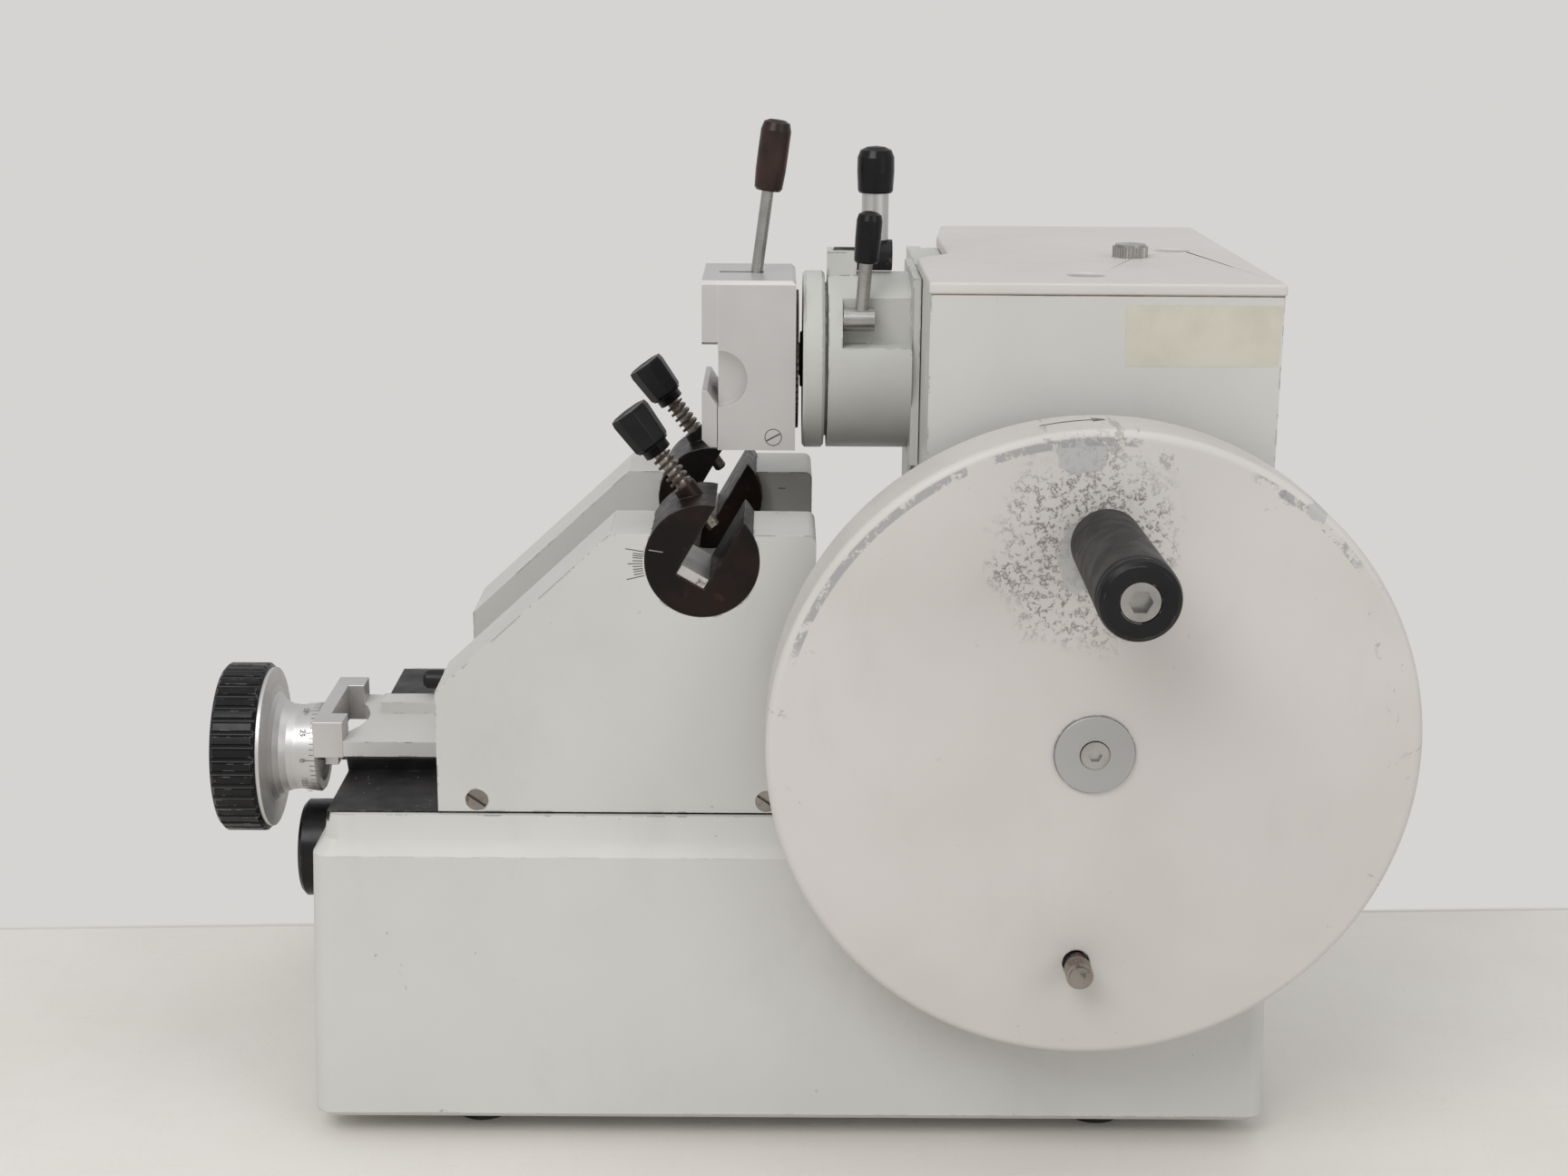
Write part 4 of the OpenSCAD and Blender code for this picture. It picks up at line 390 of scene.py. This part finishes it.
def two_tone(name, axis, cuts):
    """Turned lever in black and pale metal: cuts are (mm along the axis, tone), low to high."""
    m = Mat(name)
    v = m.axis(axis)
    tones = {
        "black": (0.012, 0.011, 0.012, 1),
        "alu": (0.56, 0.55, 0.54, 1),
        "steel": (0.34, 0.33, 0.31, 1),
    }
    off = MX if axis == 0 else 0
    col, met = tones[cuts[0][1]], 0.0 if cuts[0][1] == "black" else 1.0
    for at, tone in cuts[1:]:
        k = m.ramp(v, (at - off - 0.02) / 1000, (at - off + 0.02) / 1000)
        col = m.mix(k, col, tones[tone])
        up = 0.0 if tone == "black" else 1.0
        above = m.math("MULTIPLY", k, up)
        below = m.math("MULTIPLY", m.math("SUBTRACT", 1.0, k), met)
        met = m.math("ADD", above, below)
    wear = m.ramp(m.noise(150, 4, 0.7), 0.62, 0.68)
    m.color(m.mix(m.math("MULTIPLY", wear, 0.35), col, (0.20, 0.17, 0.15, 1)))
    m.metal(m.math("MULTIPLY", met, 0.85))
    m.set(Specular_IOR_Level=0.3)
    m.rough(m.ramp(m.noise(90, 3), 0.3, 0.7, 0.26, 0.40))
    m.bump(m.noise(400, 3), 0.00002, 0.3)
    return m.m


far_lever_m = two_tone("far_lever_two_tone", 2, [(0, "black"), (340.8, "alu")])
lock_m = two_tone("lock_three_tone", 0, [(-200, "black"), (-143.55, "alu"), (-140.5, "steel")])


def engraved():
    m = Mat("engraving")
    m.color(m.mix(m.noise(300, 3), (0.06, 0.055, 0.05, 1), (0.16, 0.15, 0.14, 1)))
    m.rough(0.7)
    m.bump(m.noise(900, 2), 0.00002, 0.3)
    return m.m


def label_mat():
    m = Mat("label_residue")
    n = m.noise(40, 5, 0.65)
    m.color(m.mix(m.ramp(n, 0.35, 0.7), lin(201, 197, 184), lin(192, 188, 173)))
    m.rough(m.ramp(n, 0.3, 0.7, 0.35, 0.6))
    m.bump(m.noise(300, 4, 0.7), 0.00005, 0.5)
    return m.m


mark_m = engraved()
residue_m = label_mat()

ASSIGN = {
    body_paint: "base_casting bottom_plate housing_shell",
    cover_paint: "top_cover",
    head_paint: "head_drum vertical_slide orientation_flange slide_plate",
    cheek_paint: "near_cheek far_cheek carriage_plate",
    wheel_paint: "handwheel",
    alu: "clamp_body upper_jaw lower_jaw yoke_bracket bearing_housing crank_yoke",
    alu_hub: "hub_disc",
    alu_lathe: "micrometer_dial crank_roller",
    far_lever_m: "far_lever",
    lock_m: "carriage_lock",
    steel_dark: "ball_stud",
    steel_m: "feed_nut main_shaft hub_screw crank_disc handle_bolt clamp_lever near_lever "
             "lead_screw thickness_shaft feed_ratchet feed_arm shaft_bearings cover_screw "
             "slide_screws frame_screws",
    steel_old: "carriage_screws clamp_springs near_clamp_screw far_clamp_screw lock_pin feed_pawl",
    bright: "knife_rests",
    holder_m: "knife_holder",
    guide_gap_shade: "slide_guides",
    knob_m: "near_lever_knob far_lever_knob near_clamp_knob far_clamp_knob",
    black_m: "micrometer_grip thickness_knob handle_cap",
    grip_m: "handle_grip",
    brown_m: "clamp_lever_grip",
    rubber_m: "rubber_feet",
    bed_m: "bed_plates dovetail_rail",
}
# width of the rounded edges in millimetres
BEVEL = {
    "base_casting": 1.2, "housing_shell": 0.9, "top_cover": 1.0, "near_cheek": 1.0,
    "far_cheek": 1.0, "carriage_plate": 0.6, "clamp_body": 0.25, "upper_jaw": 0.2,
    "lower_jaw": 0.2, "yoke_bracket": 0.35, "knife_holder": 0.25, "knife_rests": 0.2,
    "head_drum": 0.5, "hub_disc": 0.4, "dovetail_rail": 0.3, "bed_plates": 0.3,
    "vertical_slide": 0.5, "slide_plate": 0.2, "rubber_feet": 0.6, "lock_pin": 0.4,
    "carriage_lock": 0.2, "far_lever": 0.3, "crank_yoke": 0.4,
}
for mat, names in ASSIGN.items():
    for n in names.split():
        o = nodes[n]
        o.data.materials.clear()
        o.data.materials.append(mat)
left = [n for n in nodes if not nodes[n].data.materials or nodes[n].data.materials[0] not in ASSIGN]
assert not left, left
for n, w in BEVEL.items():
    o = nodes[n]
    weld = o.modifiers.new("weld", "WELD")
    weld.merge_threshold = 0.000002
    bevel = o.modifiers.new("bevel", "BEVEL")
    bevel.width = w / 1000
    bevel.segments = 3
    bevel.limit_method = "ANGLE"
    bevel.angle_limit = math.radians(32)
    bevel.use_clamp_overlap = True
    bevel.miter_outer = "MITER_ARC"
    shade = o.modifiers.new("wn", "WEIGHTED_NORMAL")
    shade.keep_sharp = False
    shade.weight = 60

# ---------------------------------------------------------------- pieces

def add(name, verts, faces, mat, body, smooth=False):
    me = bpy.data.meshes.new(name)
    me.from_pydata([tuple(v) for v in verts], [], faces)
    me.update()
    o = bpy.data.objects.new(name, me)
    scene.collection.objects.link(o)
    me.materials.append(mat)
    if smooth:
        for p in me.polygons:
            p.use_smooth = True
    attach(o, body)
    return o


def basis(axis):
    w = Vector(axis).normalized()
    u = w.orthogonal().normalized()
    return u, w.cross(u), w


def turned(name, profile, origin, axis, mat, body, sides=64):
    """Revolves [radius mm, height mm] pairs about an axis from a base point in mm."""
    u, v, w = basis(axis)
    o = V(*origin)
    verts, faces = [], []
    n = sides
    for r, h in profile:
        for i in range(n):
            a = 2 * math.pi * (i + 0.5) / n
            verts.append(o + (u * math.cos(a) * r + v * math.sin(a) * r + w * h) / 1000)
    for k in range(len(profile) - 1):
        for i in range(n):
            j = (i + 1) % n
            faces.append((k * n + i, k * n + j, (k + 1) * n + j, (k + 1) * n + i))
    faces.append(tuple(range(n))[::-1])
    faces.append(tuple((len(profile) - 1) * n + i for i in range(n)))
    return add(name, verts, faces, mat, body, smooth=True)


def soften(o):
    """Rounds the edges between the flats of a knob."""
    bevel = o.modifiers.new("bevel", "BEVEL")
    bevel.width = 0.0005
    bevel.segments = 3
    bevel.limit_method = "ANGLE"
    bevel.angle_limit = math.radians(25)
    shade = o.modifiers.new("wn", "WEIGHTED_NORMAL")
    shade.keep_sharp = False


def strips(name, quads, mat, body):
    """Thin raised or engraved marks: each item is four corner points in mm."""
    verts, faces = [], []
    for q in quads:
        k = len(verts)
        verts += [V(*p) for p in q]
        faces.append((k, k + 1, k + 2, k + 3))
    return add(name, verts, faces, mat, body)


# knife angle scale on the near cheek and its pointer on the round holder
SCALE_Y, MARK_HALF = 9.97, 0.19
ANGLES = [11.6, 9.0, 7.2, 5.4, 2.9, 0.5, -1.9, -4.2, -6.2, -8.6, -11.0]
LONG_MARKS = {0: 28.6, 5: 27.4, 10: 28.6}
quads = []
for i, a in enumerate(ANGLES):
    r0, r1 = 21.9, LONG_MARKS.get(i, 25.6)
    t = math.radians(180 - a * 1.05 + 2.5)
    dx, dz = math.cos(t), math.sin(t)
    quads.append([
        (HOLDER_X + dx * r - dz * w, SCALE_Y, HOLDER_Z + dz * r + dx * w)
        for r, w in ((r0, MARK_HALF), (r0, -MARK_HALF), (r1, -MARK_HALF), (r1, MARK_HALF))
    ])
strips("angle_scale", quads, mark_m, "carriage")
pointer = [(-53.4, 10.36, 235.05), (-53.4, 10.36, 234.65),
           (-48.2, 10.36, 233.9), (-48.2, 10.36, 234.2)]
strips("angle_pointer", [pointer], steel_m, "knife_holder")
dash = [(-5.8, 121.46, 234.1), (-2.6, 121.46, 234.1),
        (-2.6, 121.46, 233.7), (-5.8, 121.46, 233.7)]
strips("far_cheek_mark", [dash], mark_m, "carriage")

# painted shade: a dark ring in the gap round the turned screw in the near face of the specimen
# clamp, and a dark line in its slot
SCREW_AT, SCREW_Y = (-7.9, 268.1), 56.97
quads = []
for i in range(48):
    a, b = 2 * math.pi * i / 48, 2 * math.pi * (i + 1) / 48
    quads.append([
        (SCREW_AT[0] + r * math.cos(t), SCREW_Y, SCREW_AT[1] + r * math.sin(t))
        for r, t in ((3.0, a), (3.0, b), (3.35, b), (3.35, a))
    ])
c, d = math.cos(math.radians(28)), math.sin(math.radians(28))
quads.append([
    (SCREW_AT[0] + c * p - d * q, SCREW_Y, SCREW_AT[1] + d * p + c * q)
    for p, q in ((-2.9, -0.32), (2.9, -0.32), (2.9, 0.32), (-2.9, 0.32))
])
strips("clamp_screw_shade_marks", quads, mark_m, "clamp")

# faceted clamp screw knobs with a round collar
lean = math.radians(36.2)
e = Vector((-math.sin(lean), 0, math.cos(lean)))
c30 = math.cos(math.radians(30))
tip = (HOLDER_X - 0.5 * c30 + 9.2 * 0.5, HOLDER_Z + 0.25 + 9.2 * c30)


def on_screw(y, t):
    return (tip[0] + e.x * t, y, tip[1] + e.z * t)


BODY_PROFILE = [(4.6, 0), (5.3, 0.35), (5.3, 3.2), (6.5, 3.6)]
GRIP_PROFILE = [(6.3, 0), (7.3, 1.0), (8.05, 13.6), (7.6, 15.9), (5.6, 15.2), (0.4, 14.9)]
for side, y in (("near", 30.5), ("far", 138.0)):
    body = side + "_clamp_screw"
    lower = turned(side + "_knob_body", BODY_PROFILE, on_screw(y, 35.2), e, knob_m, body)
    grip = turned(side + "_knob_grip", GRIP_PROFILE, on_screw(y, 38.8), e, knob_m, body, sides=8)
    soften(grip)
    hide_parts(side + "_clamp_knob")
    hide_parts(side + "_clamp_knob")

# graduations and numbers on the micrometer collar
COLLAR_R, COLLAR_X = 18.24, -191.9
NUMBER_X, NUMBER_SIZE, NUMBER_LIFT = -197.4, 3.1, 0.05


def on_collar(x, ang, r=COLLAR_R):
    return (x, LINE_Y - r * math.cos(ang), SCREW_Z + r * math.sin(ang))


quads = []
for i in range(50):
    a = 2 * math.pi * i / 50
    length = 4.4 if i % 5 == 0 else 2.6
    w = 0.11 / COLLAR_R
    quads.append([
        on_collar(COLLAR_X - x, a + t) for x, t in ((0.4, -w), (0.4, w), (length, w), (length, -w))
    ])
strips("dial_marks", quads, mark_m, "micrometer")


def digits(text, ang):
    """Small raised number on the collar, read from the outside."""
    cu = bpy.data.curves.new("num" + text, "FONT")
    cu.body = text
    cu.size = NUMBER_SIZE / 1000
    cu.extrude = 0.00002
    cu.align_x = "CENTER"
    cu.align_y = "CENTER"
    cu.resolution_u = 3
    o = bpy.data.objects.new("dial_number_" + text, cu)
    scene.collection.objects.link(o)
    cu.materials.append(mark_m)
    pos = V(*on_collar(NUMBER_X, ang, COLLAR_R + NUMBER_LIFT))
    nrm = Vector((0, -math.cos(ang), math.sin(ang)))
    up = Vector((1, 0, 0))
    right = up.cross(nrm)
    M = Matrix((right, up, nrm)).transposed().to_4x4()
    M.translation = pos
    o.matrix_world = M
    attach(o, "micrometer")


for i in range(10):
    digits(str(25 * i), 2 * math.pi * (i * 5) / 50)

# pale residue of an old blank label, near side of the housing
LABEL_Y, SEAM_Y = 7.93, 7.94
patch = [(117.9, LABEL_Y, 326.6), (174.0, LABEL_Y, 326.6),
         (173.2, LABEL_Y, 304.8), (118.4, LABEL_Y, 304.5)]
strips("label_residue", [patch], residue_m, "base")

# dark brown hairline along the joint under the cover
seam = Mat("seam_line")
seam_tone = seam.ramp(seam.noise(60, 4), 0.35, 0.65)
seam.color(seam.mix(seam_tone, (0.10, 0.045, 0.02, 1), (0.30, 0.22, 0.15, 1)))
seam.rough(0.8)
seam.bump(seam.noise(500, 2), 0.00002, 0.4)
line = [(48.2, SEAM_Y, 329.72), (174.3, SEAM_Y, 329.72),
        (174.3, SEAM_Y, 330.02), (48.2, SEAM_Y, 330.02)]
strips("cover_seam", [line], seam.m, "base")

# arrow scribed on the rim of the handwheel, showing which way to turn
ARROW_FROM, ARROW_TO, ARROW_STEPS = math.radians(-10.8), math.radians(0.6), 16
ARROW_Y0, ARROW_Y1, ARROW_HALF = -19.0, -17.0, 0.42


def on_rim(a, y):
    r = WHEEL_R + 0.12
    return (WHEEL_X + r * math.sin(a), y, WHEEL_Z + r * math.cos(a))


quads = []
sweep, climb = ARROW_TO - ARROW_FROM, ARROW_Y1 - ARROW_Y0
for i in range(ARROW_STEPS):
    f, g = i / ARROW_STEPS, (i + 1) / ARROW_STEPS
    quads.append([
        on_rim(ARROW_FROM + sweep * t, ARROW_Y0 + climb * t + half)
        for t, half in ((f, -ARROW_HALF), (g, -ARROW_HALF), (g, ARROW_HALF), (f, ARROW_HALF))
    ])
for side in (-1, 1):
    tip_a, tip_y = ARROW_TO - 0.04, ARROW_Y1 + side * 2.6
    quads.append([
        on_rim(ARROW_TO, ARROW_Y1 - ARROW_HALF), on_rim(ARROW_TO, ARROW_Y1 + ARROW_HALF),
        on_rim(tip_a, tip_y + ARROW_HALF), on_rim(tip_a, tip_y - ARROW_HALF)
    ])
strips("turn_arrow", quads, mark_m, "handwheel")

# ---------------------------------------------------------------- stage
WALL = lin(214, 212, 210)
fm = Mat("bench_top")
n1 = fm.noise(3.5, 5, 0.6)
table = fm.mix(fm.ramp(n1, 0.3, 0.7), lin(230, 227, 220), lin(222, 218, 211))
sc = fm.noise(3, 6, 0.75, fm.map((1, 9, 1), rot=(0, 0, 0.5)), 1.5)
sc2 = fm.noise(4, 6, 0.75, fm.map((8, 1, 1), rot=(0, 0, -0.3)), 1.8)


def near_zero(v, width):
    return fm.ramp(fm.math("ABSOLUTE", v), 0.0, width, 1, 0)


hair = fm.math("MAXIMUM", near_zero(fm.math("SUBTRACT", sc, 0.5), 0.004),
               near_zero(fm.math("SUBTRACT", sc2, 0.5), 0.004))
table = fm.mix(fm.math("MULTIPLY", hair, 0.12), table, (0.35, 0.32, 0.29, 1))
# the foot of the wall runs slightly askew to the machine
FOOT_Y, FOOT_SLOPE = 0.17335, 0.04566
yy = fm.math("SUBTRACT", fm.axis(1), fm.math("MULTIPLY", fm.axis(0), FOOT_SLOPE))
# painted shade: a darker line along the foot of the wall, where the floor meets it
crack = near_zero(fm.math("SUBTRACT", yy, FOOT_Y), 0.0020)
table = fm.mix(fm.math("MULTIPLY", crack, 0.5), table, (0.50, 0.47, 0.44, 1))
fm.color(table)
fm.rough(fm.ramp(n1, 0.3, 0.7, 0.38, 0.52))
fm.set(Specular_IOR_Level=0.3)
fm.bump(fm.noise(120, 3), 0.00003, 0.2)
em = fm.t.nodes.new("ShaderNodeEmission")
em.inputs["Color"].default_value = WALL
lp = fm.t.nodes.new("ShaderNodeLightPath")
through = fm.math("MAXIMUM", lp.outputs["Is Glossy Ray"], lp.outputs["Is Transmission Ray"])
seen = fm.math("MAXIMUM", lp.outputs["Is Camera Ray"], through)
# the bench also fades into the same plain colour far from the machine
far_off = fm.ramp(fm.dist_to(MX, MY, 0), 0.75, 1.9)
behind = fm.math("MAXIMUM", fm.ramp(yy, FOOT_Y + 0.001, FOOT_Y + 0.004), far_off)
mixs = fm.t.nodes.new("ShaderNodeMixShader")
fm.link(fm.math("MULTIPLY", seen, behind), mixs.inputs[0])
fm.link(fm.b.outputs[0], mixs.inputs[1])
fm.link(em.outputs[0], mixs.inputs[2])
fm.link(mixs.outputs[0], fm.out.inputs[0])
me = bpy.data.meshes.new("bench_top")
half = 6.0  # metres
corners = [(-half, -half, 0), (half, -half, 0), (half, half * 4, 0), (-half, half * 4, 0)]
me.from_pydata(corners, [], [(0, 1, 2, 3)])
floor = bpy.data.objects.new("bench_top", me)
scene.collection.objects.link(floor)
me.materials.append(fm.m)

# ---------------------------------------------------------------- light
world = bpy.data.worlds.new("World")
scene.world = world
world.use_nodes = True
wt = world.node_tree
wt.nodes.clear()
wo = wt.nodes.new("ShaderNodeOutputWorld")
bg1 = wt.nodes.new("ShaderNodeBackground")
bg2 = wt.nodes.new("ShaderNodeBackground")
bg1.inputs[0].default_value = (0.985, 0.99, 1.0, 1)
bg1.inputs[1].default_value = 0.61
bg2.inputs[0].default_value = WALL
bg2.inputs[1].default_value = 1.0
wl = wt.nodes.new("ShaderNodeLightPath")
wm = wt.nodes.new("ShaderNodeMixShader")
wt.links.new(wl.outputs["Is Camera Ray"], wm.inputs[0])
wt.links.new(bg1.outputs[0], wm.inputs[1])
wt.links.new(bg2.outputs[0], wm.inputs[2])
wt.links.new(wm.outputs[0], wo.inputs[0])


def area(name, loc, target, size, power):
    lamp = bpy.data.lights.new(name, "AREA")
    lamp.shape = "RECTANGLE"
    lamp.size, lamp.size_y = size
    lamp.energy = power
    o = bpy.data.objects.new(name, lamp)
    scene.collection.objects.link(o)
    o.location = loc
    d = Vector(target) - Vector(loc)
    o.rotation_euler = d.to_track_quat("-Z", "Y").to_euler()


area("key", (-0.7, -1.3, 1.6), (0, 0.02, 0.15), (1.2, 0.9), 17)
area("top", (0.25, 0.0, 1.9), (0.02, 0.05, 0.1), (1.4, 1.0), 3)
area("fill", (1.2, -1.2, 0.8), (0.05, 0, 0.15), (0.9, 0.9), 4)

# ---------------------------------------------------------------- camera
# fitted to the photograph: tilt down, turn to the right, roll, and focal length in its pixels
PITCH, YAW, ROLL = math.radians(14.968), math.radians(0.249), math.radians(0.428)
FOCAL_PX, PHOTO_WIDTH = 2495.73, 1728
fwd = Vector((math.sin(YAW) * math.cos(PITCH), math.cos(YAW) * math.cos(PITCH), -math.sin(PITCH)))
right = Vector((math.cos(YAW), -math.sin(YAW), 0))
up = right.cross(fwd)
cam_right = math.cos(ROLL) * right + math.sin(ROLL) * up
cam_up = -math.sin(ROLL) * right + math.cos(ROLL) * up
cam = bpy.data.cameras.new("camera")
cam.sensor_width = 36
cam.sensor_fit = "HORIZONTAL"
cam.lens = FOCAL_PX * cam.sensor_width / PHOTO_WIDTH
cam.clip_start = 0.01
cam.clip_end = 100
cam.dof.use_dof = False
co = bpy.data.objects.new("camera", cam)
scene.collection.objects.link(co)
place = Matrix((cam_right, cam_up, -fwd)).transposed().to_4x4()
place.translation = V(-7.04, -798.06, 436.87)
co.matrix_world = place
scene.camera = co
scene.view_settings.view_transform = "Standard"
